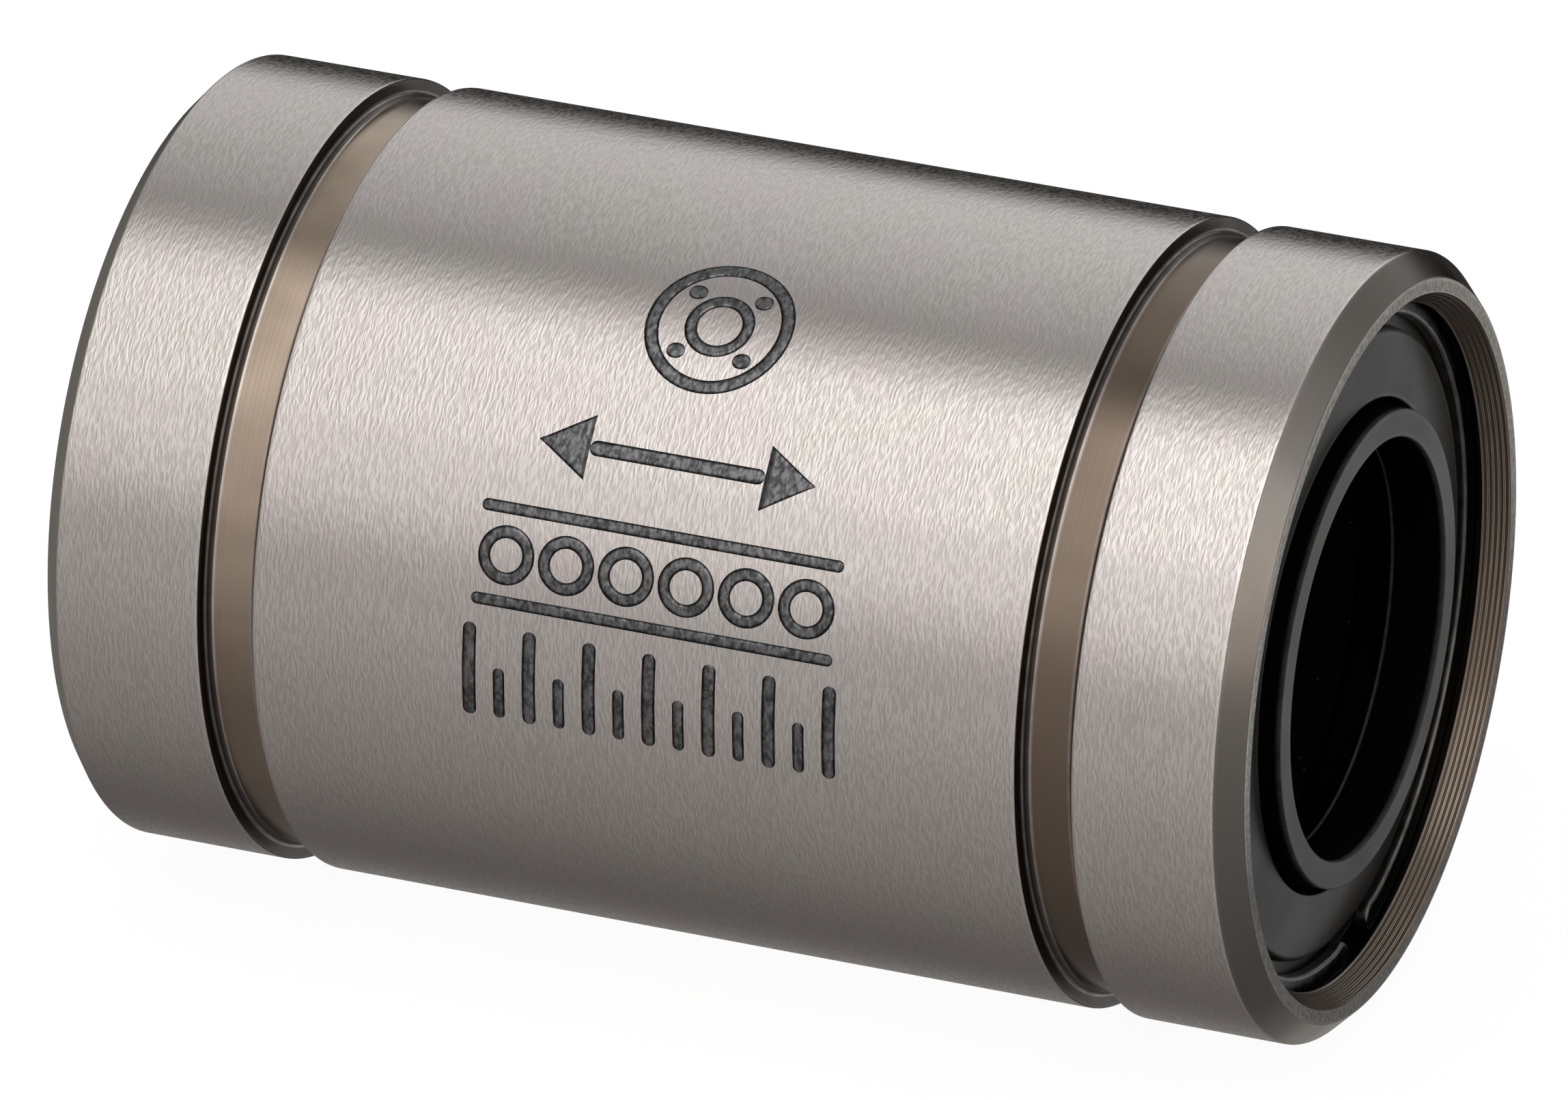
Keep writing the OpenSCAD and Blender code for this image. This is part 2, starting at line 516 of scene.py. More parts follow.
@dataclass(frozen=True)
class TurnedSteel(Finish):
    """Steel as the turning tool and the heat of hardening left it.

    The far tone is painted light and shade that changes along X: it takes over towards the rear
    end. The low share lays painted shade in a band that is full between the middle two of its four
    heights.
    """

    tone: Colour
    shade: Colour
    # Painted highlight colour along edges.
    highlight_tone: Colour = (0.74, 0.68, 0.64)
    # Painted light: a tone for the rear end, and how far its change reaches.
    rear_painted_light_tone: Colour | None = None
    far_reach: float = 8.0
    roughness: float = 0.3
    swing: tuple[float, float] = (-0.04, 0.06)
    rings: float = 14000.0
    ring_share: float = 0.12
    patch_scale: float = 480.0
    patch_share: float = 0.4
    depth: float = 0.0003
    edge_share: float = 0.3
    # Share and heights of the painted shade in a band towards the bottom.
    painted_shade_share: float = 0.0
    painted_shade_band: tuple[float, float, float, float] = (2.0, 0.2, -2.8, -5.2)

    def dress(self, coat: Coat) -> None:
        """Lays fine rings, broad heat tints and painted highlights along edges.

        Args:
            coat: The material's graph.
        """
        rings = coat.effect(Effects.turning(), Rings=self.rings)
        patches = coat.effect(Effects.mottling(), Scale=self.patch_scale)
        tone = self.tone
        # Painted light: the tone changes from the rear end to the front end.
        if self.rear_painted_light_tone:
            along = coat.add("ShaderNodeSeparateXYZ", {0: coat.place}).outputs["X"]
            front = coat.span(along, -self.far_reach * MM, self.far_reach * MM)
            tone = coat.blend(front, self.rear_painted_light_tone, self.tone)
        # Painted shade in a band towards the bottom.
        if self.painted_shade_share:
            band = coat.math("SUBTRACT", coat.sunk(*self.painted_shade_band[:2]), coat.sunk(*self.painted_shade_band[2:]))
            tone = coat.lay(tone, self.shade, band, self.painted_shade_share)
        tints = coat.math("ADD", coat.math("MULTIPLY", rings, self.ring_share),
                          coat.math("MULTIPLY", patches, self.patch_share))
        tone = coat.blend(tints, tone, self.shade)
        # Painted highlight along the edges.
        tone = coat.lay(tone, self.highlight_tone, coat.painted_edge_highlight(), self.edge_share)
        coat.metal(tone, patches, self.roughness, self.swing)
        coat.relief(rings, self.depth)


@dataclass(frozen=True)
class DarkPlastic(Finish):
    """Black moulded resin or rubber, with a fine skin and a few specks of dust.

    The low share lays painted shade on it, darker towards the bottom between the two heights of the low
    band.
    """

    tone: Colour
    grey: Colour
    roughness: float
    swing: tuple[float, float] = (-0.05, 0.06)
    # Painted highlight colour along edges.
    highlight_tone: Colour = (0.2, 0.205, 0.205)
    dusty: Colour = (0.22, 0.21, 0.2)
    # Painted shade colour towards the bottom.
    oiled: Colour = (0.003, 0.003, 0.003)
    grain: float = 9000.0
    mould_rings: float = 6000.0
    patch_scale: float = 420.0
    patch_share: float = 0.6
    skin_share: float = 0.7
    depth: float = 0.0006
    dust: float = 0.08
    dust_scale: float = 3800.0
    dust_share: float = 0.35
    gloss: float = 0.5
    edge_share: float = 0.5
    # Share and heights of the painted shade towards the bottom.
    painted_shade_share: float = 0.0
    painted_shade_band: tuple[float, float] = (2.0, -3.0)

    def dress(self, coat: Coat) -> None:
        """Lays skin relief, soft greying, dust and painted highlights along edges.

        Args:
            coat: The material's graph.
        """
        patches = coat.effect(Effects.mottling(), Scale=self.patch_scale)
        rings = coat.effect(Effects.turning(), Rings=self.mould_rings)
        dust = coat.effect(Effects.specks(), Scale=self.dust_scale, Spread=self.dust)
        tone = coat.lay(self.tone, self.grey, patches, self.patch_share)
        tone = coat.lay(tone, self.dusty, dust, self.dust_share)
        # Painted highlight along the edges.
        tone = coat.lay(tone, self.highlight_tone, coat.painted_edge_highlight(), self.edge_share)
        # Painted shade, darker towards the bottom.
        if self.painted_shade_share:
            tone = coat.lay(tone, self.oiled, coat.sunk(*self.painted_shade_band), self.painted_shade_share)
        coat.set("Base Color", tone)
        coat.set("Specular IOR Level", self.gloss)
        coat.rough(patches, self.roughness, self.swing)
        skin = coat.math("MULTIPLY", coat.noise(coat.place, self.grain), self.skin_share)
        rings = coat.math("MULTIPLY", rings, 1 - self.skin_share)
        coat.relief(coat.math("ADD", skin, rings), self.depth)


@dataclass(frozen=True)
class BlackenedSteel(Finish):
    """Oiled black spring steel, with painted highlights along its edges."""

    tone: Colour = (0.045, 0.045, 0.046)
    drawn: Colour = (0.09, 0.09, 0.092)
    # Painted highlight colour along edges.
    highlight_tone: Colour = (0.3, 0.295, 0.285)
    roughness: float = 0.28
    swing: tuple[float, float] = (0.0, 0.1)
    drawn_share: float = 0.5
    depth: float = 0.0008

    def dress(self, coat: Coat) -> None:
        """Lays drawn lines over dark oxide, and painted highlights along edges.

        Args:
            coat: The material's graph.
        """
        marks = coat.effect(Effects.grinding(), Across=16000.0, Along=3200.0)
        tone = coat.lay(self.tone, self.drawn, marks, self.drawn_share)
        # Painted highlight along the edges.
        tone = coat.blend(coat.painted_edge_highlight(), tone, self.highlight_tone)
        coat.metal(tone, marks, self.roughness, self.swing)
        coat.relief(marks, self.depth)


@dataclass(frozen=True)
class PolishedBall(Finish):
    """Bearing balls, lapped bright, with faint crossing scuffs."""

    tone: Colour = (0.78, 0.79, 0.80)
    scuffed: Colour = (0.62, 0.62, 0.63)
    roughness: float = 0.07
    swing: tuple[float, float] = (0.0, 0.13)

    def dress(self, coat: Coat) -> None:
        """Lays faint scuffs in tone and gloss.

        Args:
            coat: The material's graph.
        """
        marks = coat.effect(Effects.grinding(), Across=5200.0, Along=2400.0)
        patches = coat.effect(Effects.mottling(), Scale=900.0)
        scuffs = coat.math("MULTIPLY", marks, patches)
        tone = coat.blend(scuffs, self.tone, self.scuffed)
        coat.metal(tone, scuffs, self.roughness, self.swing)


@dataclass(frozen=True)
class MarkedOxide(Finish):
    """The dark oxide that a marking laser leaves, with a darker rim."""

    tone: Colour = (0.235, 0.23, 0.23)
    shade: Colour = (0.085, 0.085, 0.09)
    rim: Colour = (0.03, 0.03, 0.032)
    glint: Colour = (0.42, 0.42, 0.43)
    glint_share: float = 0.2
    rim_span: tuple[float, float] = (0.35, 0.85)
    raggedness: float = 0.25
    roughness: float = 0.32
    swing: tuple[float, float] = (0.0, 0.18)
    depth: float = 0.002

    def dress(self, coat: Coat) -> None:
        """Lays a grainy dark fill, a dark rim and a few painted glints.

        Args:
            coat: The material's graph.
        """
        marks = coat.effect(Effects.grinding(), Across=12000.0, Along=7000.0)
        # Painted glints: small bright specks.
        glint_specks = coat.effect(Effects.specks(), Scale=14000.0, Spread=0.3)
        ragged = coat.math("ADD", coat.edge(), coat.math("MULTIPLY", marks, self.raggedness))
        tone = coat.blend(marks, self.tone, self.shade)
        tone = coat.lay(tone, self.glint, glint_specks, self.glint_share)
        tone = coat.blend(coat.span(ragged, *self.rim_span), tone, self.rim)
        coat.metal(tone, marks, self.roughness, self.swing)
        coat.relief(marks, self.depth)


# Low shares below paint shade towards the bottom of a piece.
LAND = GroundSteel("ground_steel_land")
FACE = GroundSteel("ground_steel_face", light=(0.41, 0.39, 0.355), dark=(0.29, 0.27, 0.245),
                   warm=(0.37, 0.335, 0.295), edge_highlight_tone=(0.6, 0.57, 0.53), roughness=0.36,
                   marks_across=7000.0, marks_along=9000.0, depth=0.002, anisotropic=0.0,
                   edge_share=0.8, painted_shade_share=0.75)
# The groove's far tone is painted light, lighter towards the rear end.
GROOVE = TurnedSteel("turned_steel_groove", tone=(0.245, 0.188, 0.146), shade=(0.19, 0.142, 0.109),
                     rear_painted_light_tone=(0.58, 0.46, 0.36), roughness=0.22, ring_share=0.04, painted_shade_share=0.42)
CHAMFER = TurnedSteel("turned_steel_chamfer", tone=(0.50, 0.46, 0.42), shade=(0.40, 0.365, 0.33),
                      roughness=0.24, edge_share=0.15)
MOUTH = TurnedSteel("turned_steel_mouth", tone=(0.50, 0.415, 0.345), shade=(0.41, 0.335, 0.275),
                    ring_share=0.0, depth=0.0, edge_share=0.0)
# The mouth's inward-facing ridge flanks: a darker copy of its finish, painted shade.
SHADED_FLANK = replace(MOUTH, name="turned_steel_mouth_shaded_flank", tone=(0.15, 0.12, 0.093),
                 shade=(0.11, 0.086, 0.067))
# The seat's near-black tone is painted shade inside the bore.
SEAT = TurnedSteel("turned_steel_seat", tone=(0.05, 0.045, 0.04), shade=(0.03, 0.027, 0.024),
                   edge_share=0.1)
WALL = TurnedSteel("turned_steel_groove_wall", tone=(0.06, 0.052, 0.045),
                   shade=(0.035, 0.03, 0.026), edge_share=0.09)
# Black resin, darkened further to near-black as painted shade inside the bore.
RETAINER_RESIN = DarkPlastic("black_cage_resin", tone=(0.003, 0.003, 0.003),
                             grey=(0.006, 0.006, 0.006), roughness=0.42, gloss=0.08)
RING_RESIN = DarkPlastic("black_ring_resin", tone=(0.055, 0.055, 0.054), grey=(0.072, 0.072, 0.07),
                         roughness=0.3, gloss=0.3, painted_shade_share=0.9)
SEAL_RUBBER = DarkPlastic("dark_rubber", tone=(0.085, 0.088, 0.088), grey=(0.12, 0.124, 0.124),
                          roughness=0.4, grain=12000.0, painted_shade_share=0.7)
SEAL_SHADE = DarkPlastic("dark_rubber_inside", tone=(0.002, 0.002, 0.002),
                         grey=(0.003, 0.003, 0.003), roughness=0.5, dust=0.0, gloss=0.03,
                         edge_share=0.35)
SPRING = BlackenedSteel("blackened_spring_steel")
BALL_FINISH = PolishedBall("polished_balls")
OXIDE = MarkedOxide("marked_oxide")


# ---- Turned and swept shapes --------------------------------------------------------------
def polar(x: float, r: float, angle: float) -> Point:
    """A point in metres, from its place along X, its distance from X and its angle from +Y."""
    return x * MM, r * math.cos(angle) * MM, r * math.sin(angle) * MM


@dataclass
class Solid:
    """Solids swept through rings of points, with how near an edge each point lies."""

    points: list[Point] = field(default_factory=list)
    edges: list[float] = field(default_factory=list)
    faces: list[tuple[int, ...]] = field(default_factory=list)

    def sweep(self, rings: Sequence[Sequence[tuple[Point, float]]],
              tips: Sequence[Point] = ()) -> None:
        """Adds a solid.

        Args:
            rings: Its rings of points, each point with its edge value.
            tips: The points that close its first and last ring. With none, the last ring
                meets the first.
        """
        first, count, size = len(self.points), len(rings), len(rings[0])
        for ring in rings:
            self.points += [point for point, _ in ring]
            self.edges += [edge for _, edge in ring]
        for i in range(count - 1 if tips else count):
            here, there = first + i * size, first + (i + 1) % count * size
            self.faces += [(here + k, here + (k + 1) % size, there + (k + 1) % size, there + k)
                           for k in range(size)]
        last = first + (count - 1) * size
        for tip, start, order in zip(tips, (first, last), (-1, 1)):
            ring = range(start, start + size)[::order]
            self.faces += [(ring[k - 1], ring[k], len(self.points)) for k in range(size)]
            self.points.append(tip)
            self.edges.append(1.0)

    def _volume(self) -> float:
        """Six times the volume, below zero when the faces point inwards.

        Returns:
            The signed value.
        """
        total = 0.0
        for face in self.faces:
            a, b, c = (Vector(self.points[i]) for i in face[:3])
            total += a.dot(b.cross(c))
            if len(face) == 4:
                total += a.dot(c.cross(Vector(self.points[face[3]])))
        return total

    def mesh(self, name: str) -> bpy.types.Mesh:
        """Makes a smooth-shaded mesh whose faces point outwards.

        Args:
            name: The mesh's name.

        Returns:
            The mesh, with an edge attribute.
        """
        faces = self.faces
        if self._volume() < 0:
            faces = [face[::-1] for face in faces]
        mesh = bpy.data.meshes.new(name)
        mesh.from_pydata(self.points, [], faces)
        mesh.polygons.foreach_set("use_smooth", [True] * len(faces))
        mesh.update()
        mesh.attributes.new("edge", "FLOAT", "POINT").data.foreach_set("value", self.edges)
        return mesh


@dataclass(frozen=True)
class Corner:
    """A corner of a turned outline: its place, its rounding, the zone of the wall after it,
    whether it follows the ball races, and how strong the painted highlight along its edge is."""

    x: float
    r: float
    ease: float = 0.0
    zone: int = 0
    race: bool = False
    rub: float = 1.0


@dataclass(frozen=True)
class Station:
    """One ring of a turned mesh, with how near an edge it lies and the zone after it."""

    x: float
    r: float
    edge: float
    zone: int
    race: bool


@dataclass
class Outline:
    """A closed outline, in X and radius, that is turned about the shaft's axis.

    A rounding takes at most the ease limit of the walls beside it. The guards are the rings
    beside each rounding that keep flat walls flat. They stand off by a multiple of the
    rounding, and at most by the guard limit of the wall.
    """

    EASE_LIMIT: ClassVar[float] = 0.45
    GUARD: ClassVar[float] = 1.5
    GUARD_LIMIT: ClassVar[float] = 0.2

    corners: list[Corner]
    steps: int = 4

    @classmethod
    def joined(cls, front: list[Corner], rear: list[Corner], middle_zone: int) -> "Outline":
        """Joins two halves at the middle, the second one mirrored.

        Args:
            front: The front half's corners, from the outer middle to the inner middle.
            rear: The rear half's corners, drawn as if it were the front half.
            middle_zone: The zone of the wall that joins their first corners.

        Returns:
            The whole outline.
        """
        zones = [middle_zone] + [corner.zone for corner in rear[:-1]]
        back = [replace(corner, x=-corner.x, zone=zone)
                for corner, zone in zip(rear[::-1], zones[::-1])]
        return cls(front + back)

    def facing(self, end: End) -> "Outline":
        """The outline at one end of the bushing."""
        return replace(self, corners=[replace(c, x=c.x * end.value) for c in self.corners])

    def stations(self) -> list[Station]:
        """Rounds the corners, and adds the guards beside them.

        Returns:
            The rings, in order round the outline.
        """
        made: list[Station] = []
        count = len(self.corners)
        for i, corner in enumerate(self.corners):
            before, after = self.corners[i - 1], self.corners[(i + 1) % count]
            here = Vector((corner.x, corner.r))
            back = Vector((before.x, before.r)) - here
            ahead = Vector((after.x, after.r)) - here
            room = min(back.length, ahead.length)
            ease = min(corner.ease, self.EASE_LIMIT * room)
            if ease <= 0.0:
                made.append(Station(corner.x, corner.r, 0.0, corner.zone, corner.race))
                continue
            back.normalize()
            ahead.normalize()
            start, finish = here + back * ease, here + ahead * ease
            guard = min(self.GUARD * ease, self.GUARD_LIMIT * room)
            hold = start + back * guard
            made.append(Station(hold.x, hold.y, 0.0, before.zone, corner.race))
            for step in range(self.steps + 1):
                t = step / self.steps
                point = start * (1 - t) ** 2 + here * (2 * t * (1 - t)) + finish * t * t
                zone = before.zone if t < 0.5 else corner.zone
                # The rounding carries the corner's painted highlight weight.
                made.append(Station(point.x, point.y, corner.rub, zone, corner.race))
            hold = finish + ahead * guard
            made.append(Station(hold.x, hold.y, 0.0, corner.zone, corner.race))
        return made

    def turned(self, name: str, segments: int,
               race: Callable[[float, float], float] | None = None) -> bpy.types.Mesh:
        """Turns the outline into a closed mesh about the X axis.

        Args:
            name: The mesh's name.
            segments: Steps round the axis.
            race: Gives the radius at an angle, for rings that follow the ball races.

        Returns:
            The mesh, in metres, with an edge attribute and zone numbers.
        """
        stations = self.stations()
        angles = [math.tau * k / segments for k in range(segments)]
        solid = Solid()
        solid.sweep([[(polar(s.x, race(s.r, a) if race and s.race else s.r, a), s.edge)
                      for a in angles] for s in stations])
        mesh = solid.mesh(name)
        zones = [s.zone for s in stations for _ in angles]
        mesh.polygons.foreach_set("material_index", zones)
        return mesh


# ---- Objects ------------------------------------------------------------------------------
def linked(name: str, data: bpy.types.ID) -> bpy.types.Object:
    """Makes an object and links it into the scene.

    Args:
        name: The object's name.
        data: Its mesh, lamp or camera.

    Returns:
        The object.
    """
    made = bpy.data.objects.new(name, data)
    bpy.context.scene.collection.objects.link(made)
    return made


def placed(name: str, mesh: bpy.types.Mesh, finishes: Sequence[Finish]) -> bpy.types.Object:
    """Links a mesh into the scene with its finishes.

    Args:
        name: The object's name.
        mesh: Its mesh.
        finishes: One finish for each material number.

    Returns:
        The object.
    """
    for i, finish in enumerate(finishes):
        if i < len(mesh.materials):
            mesh.materials[i] = finish.material()
        else:
            mesh.materials.append(finish.material())
    return linked(name, mesh)


# ---- Geometry node trees ------------------------------------------------------------------
class Repeater:
    """Geometry node trees that repeat a shape, and the way they become plain meshes."""

    @staticmethod
    def _start(name: str, inputs: dict[str, str]) -> tuple[Graph, Sockets]:
        """Starts a tree that takes and gives geometry.

        Args:
            name: The tree's name.
            inputs: The kind of each input besides Geometry and Material.

        Returns:
            The tree's graph, and its inputs as they are read inside.
        """
        tree = bpy.data.node_groups.new(name, "GeometryNodeTree")
        for key, kind in {"Geometry": "Geometry", **inputs, "Material": "Material"}.items():
            tree.interface.new_socket(key, in_out="INPUT", socket_type="NodeSocket" + kind)
        tree.interface.new_socket("Geometry", in_out="OUTPUT", socket_type="NodeSocketGeometry")
        graph = Graph(tree)
        return graph, graph.add("NodeGroupInput").outputs

    @staticmethod
    def _finish(graph: Graph, given: Sockets, points: Socket, shape: Socket) -> bpy.types.NodeTree:
        """Ends a tree in Instance on Points, Realize Instances and Set Material.

        Args:
            graph: The tree's graph.
            given: Its inputs.
            points: The points to fill.
            shape: The shape that goes to each.

        Returns:
            The tree.
        """
        copies = graph.add("GeometryNodeInstanceOnPoints", {"Points": points, "Instance": shape})
        real = graph.add("GeometryNodeRealizeInstances", {"Geometry": copies.outputs[0]})
        dressed = graph.add("GeometryNodeSetMaterial", {"Geometry": real.outputs[0],
                                                        "Material": given["Material"]})
        graph.add("NodeGroupOutput", {"Geometry": dressed.outputs[0]})
        return graph.tree

    @staticmethod
    @cache
    def along_axis() -> bpy.types.NodeTree:
        """A tree that repeats its input shape along X.

        Returns:
            The tree, with Count, Pitch and Material in.
        """
        graph, given = Repeater._start("repeat_along_axis", {"Count": "Int", "Pitch": "Float"})
        step = graph.add("ShaderNodeCombineXYZ", {"X": given["Pitch"]})
        line = graph.add("GeometryNodeMeshLine", {"Count": given["Count"], "Offset": step.outputs[0]})
        return Repeater._finish(graph, given, line.outputs[0], given["Geometry"])

    @staticmethod
    @cache
    def balls() -> bpy.types.NodeTree:
        """A tree that sets balls along a straight line or round part of a circle.

        Returns:
            The tree, with Count, Start, Step, Turn Radius, Turn Start, Turn Step, Ball Radius
            and Material in. Start and Step are used for a line, the Turn inputs for a circle.
        """
        graph, given = Repeater._start("balls_on_track", {
            "Count": "Int", "Start": "Vector", "Step": "Vector", "Turn Radius": "Float",
            "Turn Start": "Float", "Turn Step": "Float", "Ball Radius": "Float"})
        line = graph.add("GeometryNodeMeshLine", {
            "Count": given["Count"], "Start Location": given["Start"], "Offset": given["Step"]})
        index = graph.add("GeometryNodeInputIndex").outputs[0]
        angle = graph.math("ADD", graph.math("MULTIPLY", index, given["Turn Step"]),
                           given["Turn Start"])
        bent = graph.add("ShaderNodeCombineXYZ", {
            "X": graph.math("MULTIPLY", graph.math("COSINE", angle), given["Turn Radius"]),
            "Y": graph.math("MULTIPLY", graph.math("SINE", angle), given["Turn Radius"])})
        spread = graph.add("GeometryNodeSetPosition", {"Geometry": line.outputs[0],
                                                       "Offset": bent.outputs[0]})
        ball = graph.add("GeometryNodeMeshIcoSphere", {"Radius": given["Ball Radius"],
                                                       "Subdivisions": 4})
        smooth = graph.add("GeometryNodeSetShadeSmooth", {"Geometry": ball.outputs[0]})
        return Repeater._finish(graph, given, spread.outputs[0], smooth.outputs[0])

    @staticmethod
    def baked(name: str, tree: bpy.types.NodeTree, values: dict[str, object],
              seed_mesh: bpy.types.Mesh | None = None) -> bpy.types.Mesh:
        """Runs a tree on a helper object and keeps the plain mesh.

        Args:
            name: The new mesh's name.
            tree: The geometry tree.
            values: The tree's inputs, by name.
            seed_mesh: The shape that goes into the tree, if it takes one.

        Returns:
            The plain mesh.
        """
        host_mesh = seed_mesh or bpy.data.meshes.new(name + "_seed")
        host = linked(name + "_host", host_mesh)
        modifier = host.modifiers.new("repeat", "NODES")
        modifier.node_group = tree
        for item in tree.interface.items_tree:
            if item.in_out == "INPUT" and item.name in values:
                modifier[item.identifier] = values[item.name]
        scene_graph = bpy.context.evaluated_depsgraph_get()
        mesh = bpy.data.meshes.new_from_object(host.evaluated_get(scene_graph))
        mesh.name = name
        bpy.data.objects.remove(host)
        bpy.data.meshes.remove(host_mesh)
        return mesh


# ---- Sub-assemblies -----------------------------------------------------------------------
class SubAssembly:
    """A part of the bushing that builds its own pieces."""

    SHELL_BODY: ClassVar[str] = "bushing"

    def publish(self, piece: bpy.types.Object, slot: Slot, body: str = SHELL_BODY,
                nodes: Sequence[str] = ()) -> None:
        """Gives a finished piece its body, and hides the nodes it stands for.

        Args:
            piece: The finished piece.
            slot: The record's slot that its finish comes from. Not used.
            body: The body that it moves with.
            nodes: The frame's nodes that it replaces.
        """
        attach(piece, body)
        if nodes:
            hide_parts(*nodes)
        LOG.info("%s: %d faces, moves with %s", piece.name, len(piece.data.polygons), body)


@dataclass
class BallTrack:
    """One circuit's track, read from the frame's joints and nodes. Millimetres."""

    number: int
    turn_r: float
    track_h: float
    row_half: float
    pitch: float
    ball_r: float
    angle: float

    @classmethod
    def from_frame(cls, number: int) -> "BallTrack":
        """Works the track out from the frame.

        Args:
            number: The circuit's number, from 1.

        Returns:
            The track.
        """
        joints = {joint["name"]: joint for joint in frame["joints"]}
        turn = joints[f"circuit_{number}_front_turn"]
        run = joints[f"circuit_{number}_load_run"]
        centre, outward = Vector(turn["pos_m"]) / MM, Vector(turn["axis"])
        height = centre.dot(outward)
        side = math.sqrt(max(centre.yz.length_squared - height ** 2, 0.0))
        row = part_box(f"circuit_{number}_load_balls")
        ball_r = (row[1].y - row[0].y) / MM / 2
        return cls(number, side, height, centre.x, run["range_m"][1] / MM, ball_r,
                   math.atan2(-outward.y, outward.z))

    @property
    def return_angle(self) -> float:
        """The angle of the return row about the axis, from +Y towards +Z."""
        local = Vector((0.0, 2 * self.turn_r, self.track_h))
        turned = Matrix.Rotation(self.angle, 3, "X") @ local
        return math.atan2(turned.z, turned.y)

    @property
    def return_r(self) -> float:
        """How far the return row's centres lie from the axis."""
        return math.hypot(2 * self.turn_r, self.track_h)

    def matrix(self) -> Matrix:
        """Takes the track's own plane to its place in the frame, in metres."""
        return Matrix.Rotation(self.angle, 4, "X") @ Matrix.Translation((0, 0, self.track_h * MM))


@dataclass
class Sleeve(SubAssembly):
    """The steel sleeve, turned from one outline with its races cut along it.

    Each chamfer is how far it runs along the axis, and how far inwards. The tracks' return
    channels are cut into the inner wall.
    """

    half_length: float
    outer_r: float
    tracks: list[BallTrack]
    front_chamfer: tuple[float, float] = (0.45, 0.45)
    rear_chamfer: tuple[float, float] = (0.35, 0.4)
    groove_out: float = 8.75
    groove_in: float = 7.65
    groove_floor_r: float = 7.15
    groove_fillet: float = 0.14
    # Strength of the painted highlight along the groove walls' top and foot edges.
    groove_lip_highlight: float = 0.3
    groove_foot_highlight: float = 5.0
    mouth_r: float = 6.76
    mouth_deep_r: float = 6.5
    mouth_depth: float = 0.5
    ridges: int = 5
    ridge_height: float = 0.02
    snap_r: float = 6.8
    snap_depth: float = 1.0
    seat_r: float = 6.45
    shoulder_depth: float = 2.1
    relief_r: float = 6.2
    race_r: float = 5.61
    race_half: float = 6.5025
    channel_r: float = 0.87
    segments: int = 192

    @classmethod
    def from_frame(cls, tracks: list[BallTrack]) -> "Sleeve":
        """Takes the sleeve's length and diameter from the frame.

        Args:
            tracks: The ball tracks that run in it.

        Returns:
            The sleeve.
        """
        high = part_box("outer_sleeve")[1]
        return cls(high.x / MM, high.z / MM, tracks)

    def _mouth(self) -> list[Corner]:
        """The turned mouth, from the end face inwards, with its tool ridges.

        Returns:
            The corners.
        """
        corners = [Corner(self.half_length, self.mouth_r, 0.03, Zone.MOUTH)]
        for k in range(2 * self.ridges):
            share = (k + 1) / (2 * self.ridges + 1)
            x = self.half_length - self.mouth_depth * share
            r = self.mouth_r + (self.mouth_deep_r - self.mouth_r) * share
            # Every other flank takes the darker painted-shade copy of the mouth's finish.
            if k % 2:
                corners.append(Corner(x, r, 0.02, Zone.MOUTH))
            else:
                corners.append(Corner(x, r + self.ridge_height, 0.02, Zone.SHADED_FLANK))
        corners.append(Corner(self.half_length - self.mouth_depth, self.mouth_deep_r, 0.02, Zone.SEAT))
        return corners

    def _half(self, axial: float, radial: float) -> list[Corner]:
        """The front half's corners, from the outer middle to the inner middle.

        Args:
            axial: How far its chamfer runs along the axis.
            radial: How far its chamfer runs inwards.

        Returns:
            The corners.
        """
        end, out = self.half_length, self.outer_r
        snap_x, seat_x = end - self.mouth_depth, end - self.snap_depth
        shoulder_x = end - self.shoulder_depth
        floor, fillet = self.groove_floor_r, self.groove_fillet
        # Painted highlight weights for the groove walls' edges.
        lip, foot = self.groove_lip_highlight, self.groove_foot_highlight
        return [
            Corner(self.groove_in, out, 0.04, Zone.WALL, rub=lip),
            Corner(self.groove_in, floor + fillet / 2, 0.03, Zone.WALL, rub=foot),
            Corner(self.groove_in + fillet, floor, 0.04, Zone.GROOVE),
            Corner(self.groove_out - fillet, floor, 0.04, Zone.WALL),
            Corner(self.groove_out, floor + fillet / 2, 0.03, Zone.WALL, rub=foot),
            Corner(self.groove_out, out, 0.04, Zone.LAND, rub=lip),
            Corner(end - axial, out, 0.03, Zone.CHAMFER),
            Corner(end, out - radial, 0.03, Zone.FACE),
            *self._mouth(),
            Corner(snap_x, self.snap_r, 0.02, Zone.SEAT),
            Corner(seat_x, self.snap_r, 0.02, Zone.SEAT),
            Corner(seat_x, self.seat_r, 0.02, Zone.SEAT),
            Corner(shoulder_x, self.seat_r, 0.02, Zone.SEAT),
            Corner(shoulder_x, self.relief_r, 0.02, Zone.SEAT),
            Corner(self.race_half, self.relief_r, 0.0, Zone.SEAT),
            Corner(self.race_half, self.race_r, 0.0, Zone.SEAT, race=True),
        ]

    def race_radius(self, r: float, angle: float) -> float:
        """The radius of the inner wall where the return channels may cut it.

        Args:
            r: The race's own radius.
            angle: The angle about the axis.

        Returns:
            The radius there.
        """
        for track in self.tracks:
            away = angle - track.return_angle
            sideways = track.return_r * math.sin(away)
            if math.cos(away) > 0 and abs(sideways) < self.channel_r:
                deep = track.return_r * math.cos(away) + math.sqrt(self.channel_r ** 2 - sideways ** 2)
                r = max(r, deep)
        return r

